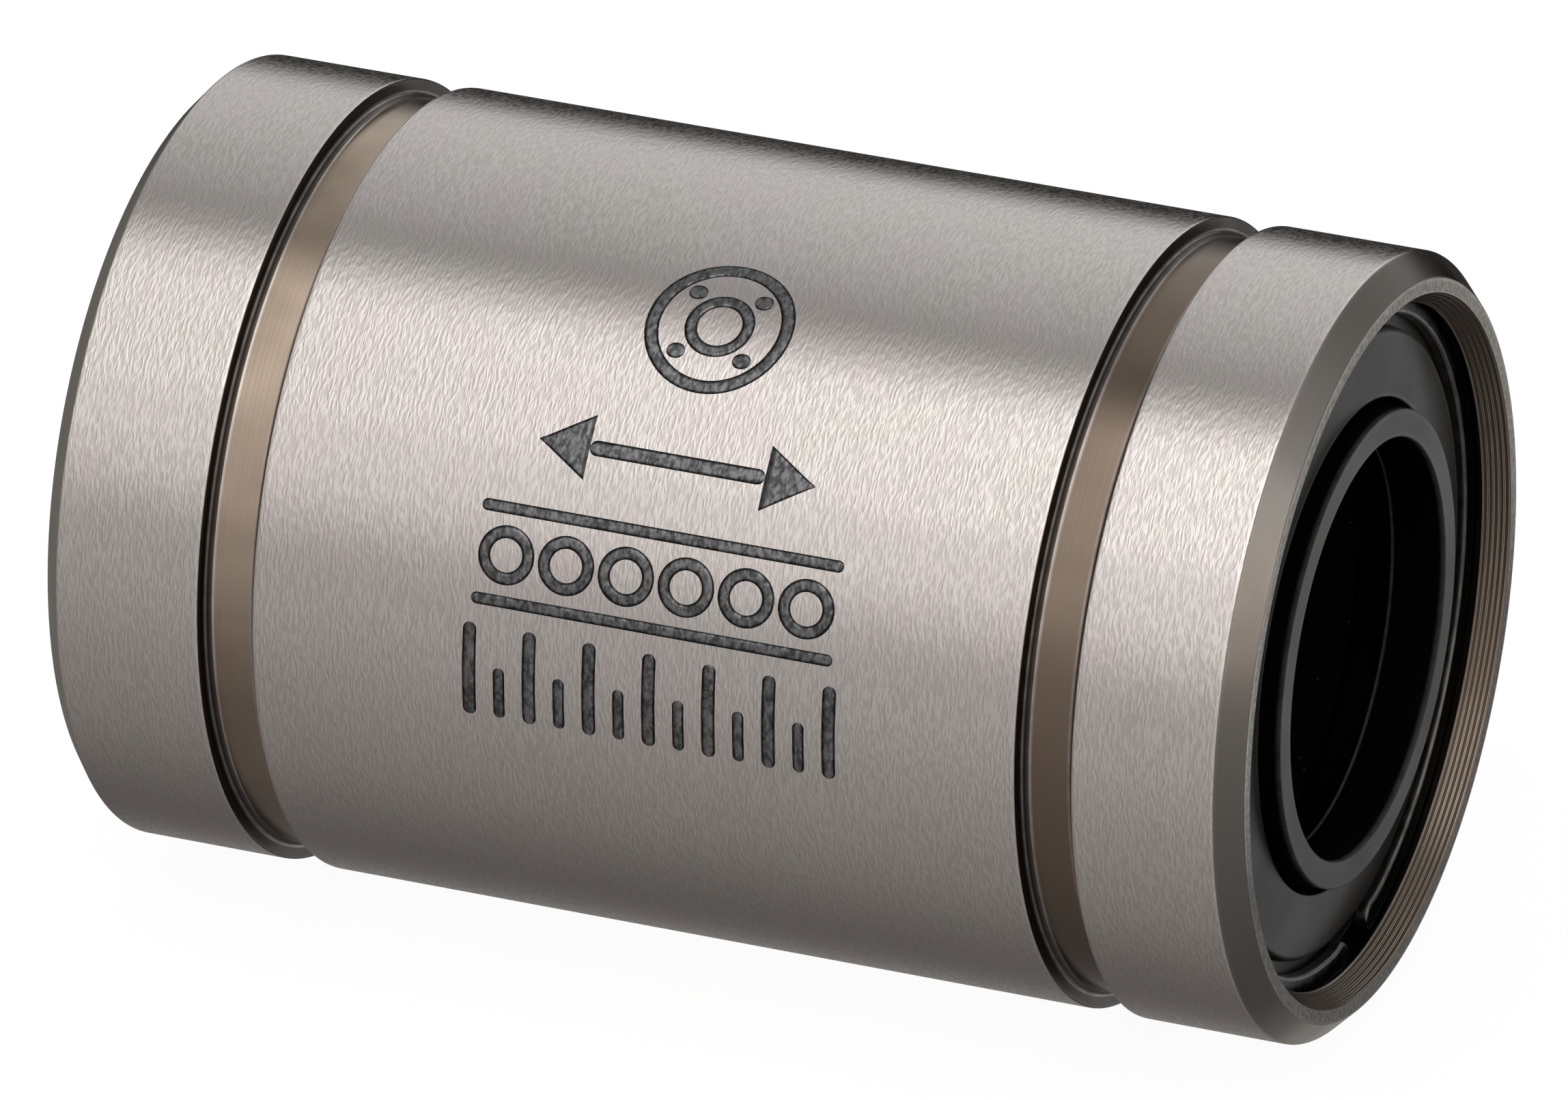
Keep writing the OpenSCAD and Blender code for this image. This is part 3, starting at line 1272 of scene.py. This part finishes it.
    def build(self) -> None:
        """Builds and dresses the sleeve."""
        outline = Outline.joined(self._half(*self.front_chamfer), self._half(*self.rear_chamfer),
                                 Zone.LAND)
        mesh = outline.turned("sleeve", self.segments, self.race_radius)
        finishes = [LAND, GROOVE, CHAMFER, FACE, MOUTH, SEAT, WALL, SHADED_FLANK]
        self.publish(placed("sleeve", mesh, finishes), Slot.SLEEVE, nodes=["outer_sleeve"])


@dataclass
class EndPart(SubAssembly):
    """A ring at one end of the bushing, whose radius and reach come from its node."""

    NODE: ClassVar[str]
    MAKE: ClassVar[str]
    SLOT: ClassVar[Slot]
    FINISHES: ClassVar[list[Finish]]

    end: End
    outer_r: float
    back_x: float
    face_x: float

    @classmethod
    def from_frame(cls, end: End) -> "EndPart":
        """Takes the part's radius and reach from the frame.

        Args:
            end: Which end it is at.

        Returns:
            The part.
        """
        low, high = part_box(f"{end.word}_{cls.NODE}")
        near, far = sorted((abs(low.x), abs(high.x)))
        return cls(end, high.z / MM, near / MM, far / MM)

    def mesh(self, name: str) -> bpy.types.Mesh:
        """Makes the part's shape. Each part has its own.

        Args:
            name: The mesh's name.

        Returns:
            The mesh.
        """
        raise NotImplementedError

    def build(self) -> None:
        """Builds and dresses the part."""
        node = f"{self.end.word}_{self.NODE}"
        name = f"{node}_{self.MAKE}"
        self.publish(placed(name, self.mesh(name), self.FINISHES), self.SLOT, nodes=[node])


@dataclass
class EndRing(EndPart):
    """A moulded ring that closes one end and holds the lip seal."""

    NODE = "end_ring"
    MAKE = "moulding"
    SLOT = Slot.END_RING
    FINISHES = [RING_RESIN]

    step_x: float = 11.0
    boss_r: float = 5.98
    boss_round: float = 0.2
    fall: float = 0.13
    hole_r: float = 4.69
    recess_r: float = 5.3
    recess_x: float = 10.46
    segments: int = 160

    def mesh(self, name: str) -> bpy.types.Mesh:
        """Turns the flange with its boss and its recess for the seal.

        Args:
            name: The mesh's name.

        Returns:
            The mesh.
        """
        outline = Outline([
            Corner(self.back_x, self.recess_r, 0.03),
            Corner(self.back_x, self.outer_r, 0.03),
            Corner(self.step_x, self.outer_r, 0.03),
            Corner(self.step_x, self.boss_r, 0.05),
            Corner(self.face_x - self.fall, self.boss_r, self.boss_round),
            Corner(self.face_x, self.hole_r, 0.05),
            Corner(self.recess_x, self.hole_r, 0.02),
            Corner(self.recess_x, self.recess_r, 0.02),
        ], steps=6)
        return outline.facing(self.end).turned(name, self.segments)


@dataclass
class LipSeal(EndPart):
    """A rubber seal whose collar stands out round the shaft."""

    NODE = "lip_seal"
    MAKE = "rubber"
    SLOT = Slot.SEAL
    FINISHES = [SEAL_RUBBER, SEAL_SHADE]

    flange_x: float = 10.42
    collar_r: float = 4.54
    lip_r: float = 4.0
    lip_x: float = 10.63
    lip_fall: float = 0.15
    # Strength of the painted highlight along the lip's inner edge, seen in the bore.
    lip_highlight: float = 1.8
    relief_r: float = 4.3
    segments: int = 160

    def mesh(self, name: str) -> bpy.types.Mesh:
        """Turns the flange with its collar, lip and relief. Only the collar's face is light.

        Args:
            name: The mesh's name.

        Returns:
            The mesh.
        """
        outline = Outline([
            Corner(self.back_x, self.relief_r, 0.03, 1, rub=0.0),
            Corner(self.back_x, self.outer_r, 0.03, 1),
            Corner(self.flange_x, self.outer_r, 0.03, 1),
            Corner(self.flange_x, self.collar_r, 0.04, 1),
            Corner(self.face_x, self.collar_r, 0.05, 0),
            Corner(self.face_x, self.lip_r, 0.05, 1),
            Corner(self.lip_x, self.lip_r, 0.03, 1, rub=self.lip_highlight),
            Corner(self.lip_x - self.lip_fall, self.relief_r, 0.03, 1, rub=0.0),
        ])
        return outline.facing(self.end).turned(name, self.segments)


@dataclass
class SnapRing(EndPart):
    """An open spring ring in its groove, with rounded ends."""

    NODE = "snap_ring"
    MAKE = "wire"
    SLOT = Slot.SNAP_RING
    FINISHES = [SPRING]

    inner_r: float = 6.25
    opening_at: float = 277.0
    opening: float = 14.0
    tip_r: float = 0.3
    tip_steps: int = 14
    tip_least: float = 0.004
    neck: float = 0.35
    edge_round: float = 0.05
    edge_share: float = 0.4
    turns: int = 220

    @property
    def middle_r(self) -> float:
        """The radius of the wire's middle line."""
        return (self.outer_r + self.inner_r) / 2

    def _stations(self) -> list[tuple[float, float]]:
        """Angles along the ring with its half width at each, rounded at both ends.

        Returns:
            Pairs of an angle in radians and a half width.
        """
        half = (self.outer_r - self.inner_r) / 2
        first = math.radians(self.opening_at + self.opening / 2)
        last = first + math.tau - math.radians(self.opening)
        tip = []
        for k in range(self.tip_steps):
            swing = math.pi / 2 * (1 - k / self.tip_steps)
            tip.append((self.tip_r * math.sin(swing) / self.middle_r,
                        max(self.tip_r * math.cos(swing), self.tip_least)))
        neck, body = self.neck / self.middle_r, []
        for k in range(self.turns + 1):
            angle = first + (last - first) * k / self.turns
            swell = max(0.0, 1 - min(angle - first, last - angle) / neck)
            body.append((angle, half + (self.tip_r - half) * swell * swell))
        start = [(first - away, wide) for away, wide in tip]
        finish = [(last + away, wide) for away, wide in reversed(tip)]
        return start + body + finish

    def _section(self, wide: float) -> list[tuple[float, float, float]]:
        """One section of the wire, rounded most on the side that shows.

        Args:
            wide: Its half width.

        Returns:
            For each point its height over the back, its distance outwards from the middle
            line and its edge value.
        """
        thick = self.face_x - self.back_x
        soft = min(self.edge_round, self.edge_share * wide)
        bulge = 0.3 * soft
        inner = [(0.0, -wide + soft, 1.0), (soft, -wide, 1.0), (thick - soft, -wide, 1.0),
                 (thick - bulge, -wide + bulge, 1.0), (thick, -wide + soft, 1.0),
                 (thick, -wide + 2 * soft, 0.0)]
        return inner + [(height, -off, edge) for height, off, edge in reversed(inner)]

    def _point(self, height: float, off: float, angle: float) -> Point:
        """A point of the wire, in metres.

        Args:
            height: Its height over the back.
            off: Its distance outwards from the middle line.
            angle: Its angle about the axis.

        Returns:
            The point.
        """
        return polar((self.back_x + height) * self.end.value, self.middle_r + off, angle)

    def mesh(self, name: str) -> bpy.types.Mesh:
        """Sweeps the section along the ring.

        Args:
            name: The mesh's name.

        Returns:
            The mesh.
        """
        stations = self._stations()
        rings = [[(self._point(height, off, angle), edge)
                  for height, off, edge in self._section(wide)] for angle, wide in stations]
        middle = (self.face_x - self.back_x) / 2
        solid = Solid()
        solid.sweep(rings, [self._point(middle, 0.0, stations[i][0]) for i in (0, -1)])
        return solid.mesh(name)


@dataclass
class Retainer(SubAssembly):
    """The moulded cage that guides the balls, smoothed from its node's own shape."""

    merge_distance: float = 0.0001
    crease: float = 35.0

    def build(self) -> None:
        """Builds and dresses the cage."""
        mesh = frame["nodes"]["ball_retainer"].data.copy()
        work = bmesh.new()
        work.from_mesh(mesh)
        bmesh.ops.remove_doubles(work, verts=work.verts, dist=self.merge_distance * MM)
        bmesh.ops.recalc_face_normals(work, faces=work.faces)
        work.to_mesh(mesh)
        work.free()
        if "custom_normal" in mesh.attributes:
            mesh.attributes.remove(mesh.attributes["custom_normal"])
        mesh.polygons.foreach_set("use_smooth", [True] * len(mesh.polygons))
        mesh.set_sharp_from_angle(angle=math.radians(self.crease))
        mesh.update()
        self.publish(placed("retainer_cage", mesh, [RETAINER_RESIN]), Slot.RETAINER,
                     nodes=["ball_retainer"])


@dataclass
class BallCircuit(SubAssembly):
    """One endless circuit of balls: two straight rows and two turns, each a body."""

    track: BallTrack
    row_balls: int = 7
    turn_balls: int = 2

    def _piece(self, part: str, values: dict[str, object]) -> None:
        """Builds the balls of one body.

        Args:
            part: The end of the node's name.
            values: Where the balls lie, in the track's own plane.
        """
        node = f"circuit_{self.track.number}_{part}"
        name = node + "_polished"
        values = {"Ball Radius": self.track.ball_r * MM, "Material": BALL_FINISH.material(), **values}
        mesh = Repeater.baked(name, Repeater.balls(), values)
        mesh.transform(self.track.matrix())
        self.publish(placed(name, mesh, [BALL_FINISH]), Slot.BALL, node, [node])

    def build(self) -> None:
        """Builds the four bodies' balls."""
        half, pitch, turn = self.track.row_half * MM, self.track.pitch * MM, self.track.turn_r * MM
        row = {"Count": self.row_balls, "Turn Radius": 0.0}
        arc = {"Count": self.turn_balls, "Turn Radius": turn, "Turn Step": math.pi / self.turn_balls}
        self._piece("load_balls", {**row, "Start": (-half, 0, 0), "Step": (pitch, 0, 0)})
        self._piece("return_balls", {**row, "Start": (half, 2 * turn, 0), "Step": (-pitch, 0, 0)})
        self._piece("front_turn_balls", {**arc, "Start": (half, turn, 0), "Turn Start": -math.pi / 2})
        self._piece("rear_turn_balls", {**arc, "Start": (-half, turn, 0), "Turn Start": math.pi / 2})


@dataclass
class MarkSheet:
    """Strokes on the sleeve's round surface. Places are in millimetres, along X and round it.

    A stroke's flat top is cut into lanes, and lies inside a rim that slopes down to its
    shoulder. The root is how far it reaches into the sleeve.
    """

    sleeve_r: float
    centre_angle: float
    rise: float = 0.006
    root: float = 0.004
    lane: float = 0.16
    rim: float = 0.075
    rim_limit: float = 0.6
    shoulder: float = 0.4
    piece: float = 0.2
    cap_steps: int = 6
    cap_start: float = 0.3
    head_steps: int = 8
    head_least: float = 0.012
    solid: Solid = field(default_factory=Solid)

    def wrap(self, s: float, t: float, height: float) -> Point:
        """Takes a place on the sheet to the sleeve.

        Args:
            s: Along the axis.
            t: Round the axis, downwards.
            height: Above the sleeve's surface.

        Returns:
            The point, in metres.
        """
        return polar(s, self.sleeve_r + height, math.radians(self.centre_angle) + t / self.sleeve_r)

    def strip(self, line: Sequence[tuple[float, float, float, float, float]],
              closed: bool = False) -> None:
        """Adds a stroke.

        Args:
            line: For each station its place, its sideways direction and its half width.
            closed: Whether the last station meets the first.
        """
        lanes = 1 + int(2 * max(station[-1] for station in line) / self.lane)
        shoulder = self.shoulder * self.rise
        rings = []
        for s, t, across_s, across_t, half in line:
            inner = half - min(self.rim, self.rim_limit * half)
            top = [(-inner + 2 * inner * k / lanes, self.rise, 0.0) for k in range(lanes + 1)]
            bottom = [(half - 2 * half * k / lanes, -self.root, 1.0) for k in range(lanes + 1)]
            section = [(-half, shoulder, 1.0), *top, (half, shoulder, 1.0), *bottom]
            rings.append([(self.wrap(s + across_s * side, t + across_t * side, height), edge)
                          for side, height, edge in section])
        middle = (self.rise - self.root) / 2
        tips = () if closed else [self.wrap(*line[i][:2], middle) for i in (0, -1)]
        self.solid.sweep(rings, tips)

    def bar(self, start: Place, finish: Place, width: float) -> None:
        """Adds a straight stroke with round ends.

        Args:
            start: One end's place.
            finish: The other end's place.
            width: The stroke's width.
        """
        a, b, half = Vector(start), Vector(finish), width / 2
        run = (b - a).normalized()
        swings = [math.pi / 2 * (k + self.cap_start) / (self.cap_steps + self.cap_start)
                  for k in range(self.cap_steps + 1)]
        pieces = max(2, int((b - a).length / self.piece))
        along = [(a - run * half * math.cos(q), half * math.sin(q)) for q in swings]
        along += [(a.lerp(b, k / pieces), half) for k in range(1, pieces)]
        along += [(b + run * half * math.cos(q), half * math.sin(q)) for q in reversed(swings)]
        self.strip([(p.x, p.y, -run.y, run.x, wide) for p, wide in along])

    def ring(self, centre: Place, radius: float, width: float, steps: int = 48) -> None:
        """Adds a circle.

        Args:
            centre: Its middle.
            radius: To the middle of the stroke.
            width: The stroke's width.
            steps: Sides of the circle.
        """
        ways = [(math.cos(math.tau * k / steps), math.sin(math.tau * k / steps))
                for k in range(steps)]
        self.strip([(centre[0] + radius * s, centre[1] + radius * t, s, t, width / 2)
                    for s, t in ways], closed=True)

    def head(self, tip: Place, length: float, width: float) -> None:
        """Adds a solid arrow head that points along X.

        Args:
            tip: The place of its tip.
            length: From tip to base, with its sign towards the base.
            width: The width of its base.
        """
        steps = self.head_steps
        self.strip([(tip[0] + length * k / steps, tip[1], 0.0, 1.0,
                     max(self.head_least, width / 2 * k / steps)) for k in range(steps + 1)])


@dataclass
class SleeveMarks(SubAssembly):
    """Plain pictograms marked on the sleeve: its section, its travel, its balls and a scale.

    Bold, thin and fine lines have these shares of the usual stroke's width.
    """

    BOLD: ClassVar[float] = 1.1
    THIN: ClassVar[float] = 0.9
    FINE: ClassVar[float] = 0.85

    sleeve_r: float
    middle_angle: float = 152.7
    middle_x: float = 0.35
    stroke: float = 0.27
    pitch: float = 1.2

    def _sheet(self) -> MarkSheet:
        """An empty sheet on the sleeve."""
        return MarkSheet(self.sleeve_r, self.middle_angle)

    def _first(self, count: int) -> float:
        """The place along X where a row of repeated signs starts."""
        return self.middle_x - self.pitch * (count - 1) / 2

    def section_sign(self) -> None:
        """Marks the bushing seen from its end: two circles and four dots between them."""
        row, outer, inner, dots, dot, nudge = -3.95, 1.3, 0.55, 0.93, 0.32, 0.02
        sheet = self._sheet()
        sheet.ring((self.middle_x, row), outer, self.stroke)
        sheet.ring((self.middle_x, row), inner, self.stroke * self.THIN)
        for k in range(4):
            angle = math.tau * (k + 0.5) / 4
            s, t = self.middle_x + dots * math.cos(angle), row + dots * math.sin(angle)
            sheet.bar((s - nudge, t), (s + nudge, t), dot)
        self._mark("section_sign", sheet.solid.mesh("section_sign"))

    def travel_sign(self) -> None:
        """Marks an arrow with two heads along the axis."""
        row, reach, neck, head_length, head_width = -1.15, 2.75, 1.15, 1.0, 1.25
        sheet = self._sheet()
        sheet.bar((self.middle_x - reach + neck, row), (self.middle_x + reach - neck, row),
                  self.stroke * self.BOLD)
        sheet.head((self.middle_x - reach, row), head_length, head_width)
        sheet.head((self.middle_x + reach, row), -head_length, head_width)
        self._mark("travel_sign", sheet.solid.mesh("travel_sign"))

    def ball_row_sign(self) -> None:
        """Marks a row of open circles between two rails."""
        row, count, circle, rail, overhang = 1.1, 6, 0.44, 0.88, 0.5
        first = self._first(count)
        last = first + self.pitch * (count - 1)
        ring, rails = self._sheet(), self._sheet()
        ring.ring((first, row), circle, self.stroke * self.THIN, 36)
        for t in (row - rail, row + rail):
            rails.bar((first - overhang, t), (last + overhang, t), self.stroke * self.FINE)
        self._mark("ball_row_sign_rails", rails.solid.mesh("ball_row_sign_rails"))
        self._repeated("ball_row_sign", ring, count)

    def scale_sign(self) -> None:
        """Marks a plain scale of long and short ticks."""
        row, count, foot, tall_top, small_top = 3.45, 7, 0.75, -0.85, -0.05
        first = self._first(count)
        half_way = first + self.pitch / 2
        tall, small = self._sheet(), self._sheet()
        tall.bar((first, row + tall_top), (first, row + foot), self.stroke)
        small.bar((half_way, row + small_top), (half_way, row + foot), self.stroke * self.FINE)
        self._repeated("scale_sign_small", small, count - 1)
        self._repeated("scale_sign_tall", tall, count)

    def _repeated(self, name: str, sheet: MarkSheet, count: int) -> None:
        """Marks a sheet's strokes again and again along the axis.

        Args:
            name: The piece's name.
            sheet: The first stroke or strokes.
            count: How many.
        """
        values = {"Count": count, "Pitch": self.pitch * MM, "Material": OXIDE.material()}
        seed = sheet.solid.mesh(name + "_one")
        self._mark(name, Repeater.baked(name, Repeater.along_axis(), values, seed))

    def _mark(self, name: str, mesh: bpy.types.Mesh) -> None:
        """Publishes a mark's mesh."""
        self.publish(placed(name, mesh, [OXIDE]), Slot.SLEEVE)

    def build(self) -> None:
        """Builds every mark."""
        self.section_sign()
        self.travel_sign()
        self.ball_row_sign()
        self.scale_sign()


# ---- Studio -------------------------------------------------------------------------------
@dataclass(frozen=True)
class Glow:
    """How bright the studio is in one direction about the X axis, in degrees from +Y."""

    angle: float
    level: float
    tint: Colour = (1.0, 1.0, 1.0)


@dataclass(frozen=True)
class Softbox:
    """A square lamp that faces the object. Its place and size are in metres."""

    name: str
    place: Point
    size: float
    power: float


COOL: Colour = (0.97, 1.0, 1.01)
WARM: Colour = (1.01, 0.978, 0.957)
ROSE: Colour = (1.0, 0.988, 0.992)
BROWN: Colour = (1.02, 0.9, 0.8)
WHITE: Colour = (1.0, 1.0, 1.0)


@dataclass
class Studio:
    """The camera, the soft studio round the object, and the floor under it.

    The side glows light what faces away from the axis, and change along X by the slope. The
    end glows take over towards +X, and the behind colour towards -X.
    """

    floor_z: float
    azimuth: float = 22.552
    elevation: float = 25.458
    distance: float = 373.98
    aim_right: float = -0.035
    aim_up: float = -0.087
    lens: float = 457.19
    sensor: float = 36.0
    clip: tuple[float, float] = (0.01, 20.0)
    floor_reach: float = 3.0
    floor_tone: Colour = (0.1, 0.1, 0.1)
    floor_glow: Colour = (0.95, 0.95, 0.95)
    softboxes: tuple[Softbox, ...] = (
        Softbox("overhead_softbox", (0.0, -0.35, 0.6), 0.5, 0.6),
        Softbox("end_softbox", (0.62, -0.14, 0.22), 0.4, 0.12))
    behind: Colour = (0.22, 0.215, 0.2)
    behind_span: tuple[float, float] = (-0.45, -0.8)
    slope: tuple[float, float, float, float] = (-0.62, -0.07, 0.6, 1.4)
    end_span: tuple[float, float] = (0.08, 0.32)
    end_glows: tuple[Glow, ...] = (
        Glow(0, 0.2), Glow(16, 0.2), Glow(30, 0.16), Glow(46, 0.25), Glow(64, 0.37),
        Glow(88, 0.41), Glow(122, 0.44, BROWN), Glow(165, 0.38, BROWN), Glow(203, 0.2),
        Glow(252, 0.15), Glow(284, 0.09), Glow(308, 0.08), Glow(325, 0.6), Glow(340, 0.6),
        Glow(352, 0.25))
    side_glows: tuple[Glow, ...] = (
        Glow(2, 0.0), Glow(9, 0.30, COOL), Glow(16, 0.71, COOL), Glow(41, 0.66, COOL),
        Glow(57, 0.575, COOL), Glow(73, 0.455, COOL), Glow(82, 0.27), Glow(89, 0.44),
        Glow(97, 0.90), Glow(108, 0.85), Glow(124, 0.755), Glow(137, 0.82), Glow(146, 1.0),
        Glow(153, 0.95), Glow(160, 0.88, ROSE), Glow(168, 0.70, ROSE), Glow(178, 0.49, ROSE),
        Glow(193, 0.465, ROSE), Glow(217, 0.345, WARM), Glow(249, 0.24, WARM),
        Glow(265, 0.175, WARM), Glow(285, 0.125, WARM), Glow(300, 0.14, WARM),
        Glow(325, 0.27, WARM), Glow(335, 0.06), Glow(342, 0.0))

    def camera(self) -> None:
        """Sets the scene's camera."""
        a, e = math.radians(self.azimuth), math.radians(self.elevation)
        back = Vector((math.sin(a) * math.cos(e), -math.cos(a) * math.cos(e), math.sin(e)))
        right = Vector((math.cos(a), math.sin(a), 0.0))
        up = back.cross(right)
        place = (back * self.distance + right * self.aim_right + up * self.aim_up) * MM
        data = bpy.data.cameras.new("camera")
        data.sensor_width = self.sensor
        data.lens = self.lens
        data.clip_start, data.clip_end = self.clip
        camera = linked("camera", data)
        camera.matrix_world = Matrix.Translation(place) @ Matrix((right, up, back)).transposed().to_4x4()
        bpy.context.scene.camera = camera

    @staticmethod
    def ring_of(graph: Graph, share: Socket, glows: Sequence[Glow]) -> Socket:
        """Turns a ring of glows into a colour ramp.

        Args:
            graph: The world's graph.
            share: The direction's angle, from 0 to 1 round the axis.
            glows: The glows, in order of their angles.

        Returns:
            The colour in that direction.
        """
        ramp = graph.add("ShaderNodeValToRGB", {0: share})
        elements = ramp.color_ramp.elements
        while len(elements) > 1:
            elements.remove(elements[-1])
        for i, glow in enumerate(glows):
            element = elements.new(glow.angle / 360) if i else elements[0]
            element.position = glow.angle / 360
            element.color = opaque([glow.level * c for c in glow.tint])
        return ramp.outputs[0]

    def surroundings(self) -> None:
        """Lights the scene with a soft gradient round the axis, seen as plain white."""
        world = bpy.data.worlds.new("studio")
        bpy.context.scene.world = world
        graph = Graph(emptied(world))
        way = graph.add("ShaderNodeTexCoord").outputs["Generated"]
        split = graph.add("ShaderNodeSeparateXYZ", {0: way}).outputs
        turn = graph.math("ARCTAN2", split["Z"], split["Y"])
        share = graph.math("FRACT", graph.math("DIVIDE", turn, math.tau))
        side = self.ring_of(graph, share, self.side_glows)
        ahead = self.ring_of(graph, share, self.end_glows)
        slope = graph.span(split["X"], *self.slope)
        tilted = graph.add("ShaderNodeVectorMath", {0: side, "Scale": slope}, operation="SCALE")
        colour = graph.blend(graph.span(split["X"], *self.end_span), tilted.outputs[0], ahead)
        colour = graph.blend(graph.span(split["X"], *self.behind_span), colour, self.behind)
        light = graph.add("ShaderNodeBackground", {"Color": colour, "Strength": 1.0})
        plain = graph.add("ShaderNodeBackground", {"Color": opaque(WHITE), "Strength": 1.0})
        seen = graph.add("ShaderNodeLightPath").outputs["Is Camera Ray"]
        choice = graph.add("ShaderNodeMixShader", {0: seen, 1: light.outputs[0], 2: plain.outputs[0]})
        graph.add("ShaderNodeOutputWorld", {"Surface": choice.outputs[0]})

    def lamps(self) -> None:
        """Adds the broad, weak lamps over the object."""
        for box in self.softboxes:
            data = bpy.data.lights.new(box.name, "AREA")
            data.shape = "SQUARE"
            data.size = box.size
            data.energy = box.power
            lamp = linked(box.name, data)
            facing = Vector(box.place).to_track_quat("Z", "Y").to_matrix().to_4x4()
            lamp.matrix_world = Matrix.Translation(box.place) @ facing
            lamp.visible_camera = False

    def floor(self) -> None:
        """Lays a pale floor that is clear from below."""
        mesh = bpy.data.meshes.new("floor")
        mesh.from_pydata([(x * self.floor_reach, y * self.floor_reach, self.floor_z * MM)
                          for x, y in ((-1, -1), (1, -1), (1, 1), (-1, 1))], [], [(0, 1, 2, 3)])
        material = bpy.data.materials.new("pale_floor")
        graph = Graph(emptied(material))
        matt = graph.add("ShaderNodeBsdfDiffuse", {"Color": opaque(self.floor_tone)})
        glow = graph.add("ShaderNodeEmission", {"Color": opaque(self.floor_glow)})
        both = graph.add("ShaderNodeAddShader", {0: matt.outputs[0], 1: glow.outputs[0]})
        under = graph.add("ShaderNodeNewGeometry").outputs["Backfacing"]
        clear = graph.add("ShaderNodeBsdfTransparent")
        choice = graph.add("ShaderNodeMixShader", {0: under, 1: both.outputs[0], 2: clear.outputs[0]})
        graph.add("ShaderNodeOutputMaterial", {"Surface": choice.outputs[0]})
        mesh.materials.append(material)
        plane = linked("floor", mesh)
        plane.visible_glossy = False
        plane.visible_diffuse = False

    def build(self) -> None:
        """Sets the whole studio up."""
        self.camera()
        self.surroundings()
        self.lamps()
        self.floor()
        bpy.context.scene.view_settings.view_transform = "Standard"


def main() -> None:
    """Builds the studio and every sub-assembly."""
    logging.basicConfig(level=logging.INFO, format="%(name)s: %(message)s")
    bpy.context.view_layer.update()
    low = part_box("outer_sleeve")[0]
    Studio(floor_z=low.z / MM).build()
    tracks = [BallTrack.from_frame(number) for number in range(1, 5)]
    sleeve = Sleeve.from_frame(tracks)
    sleeve.build()
    for end in End:
        EndRing.from_frame(end).build()
        LipSeal.from_frame(end).build()
        SnapRing.from_frame(end).build()
    Retainer().build()
    for track in tracks:
        BallCircuit(track).build()
    SleeveMarks(sleeve.outer_r).build()


if __name__ == "__main__":
    main()
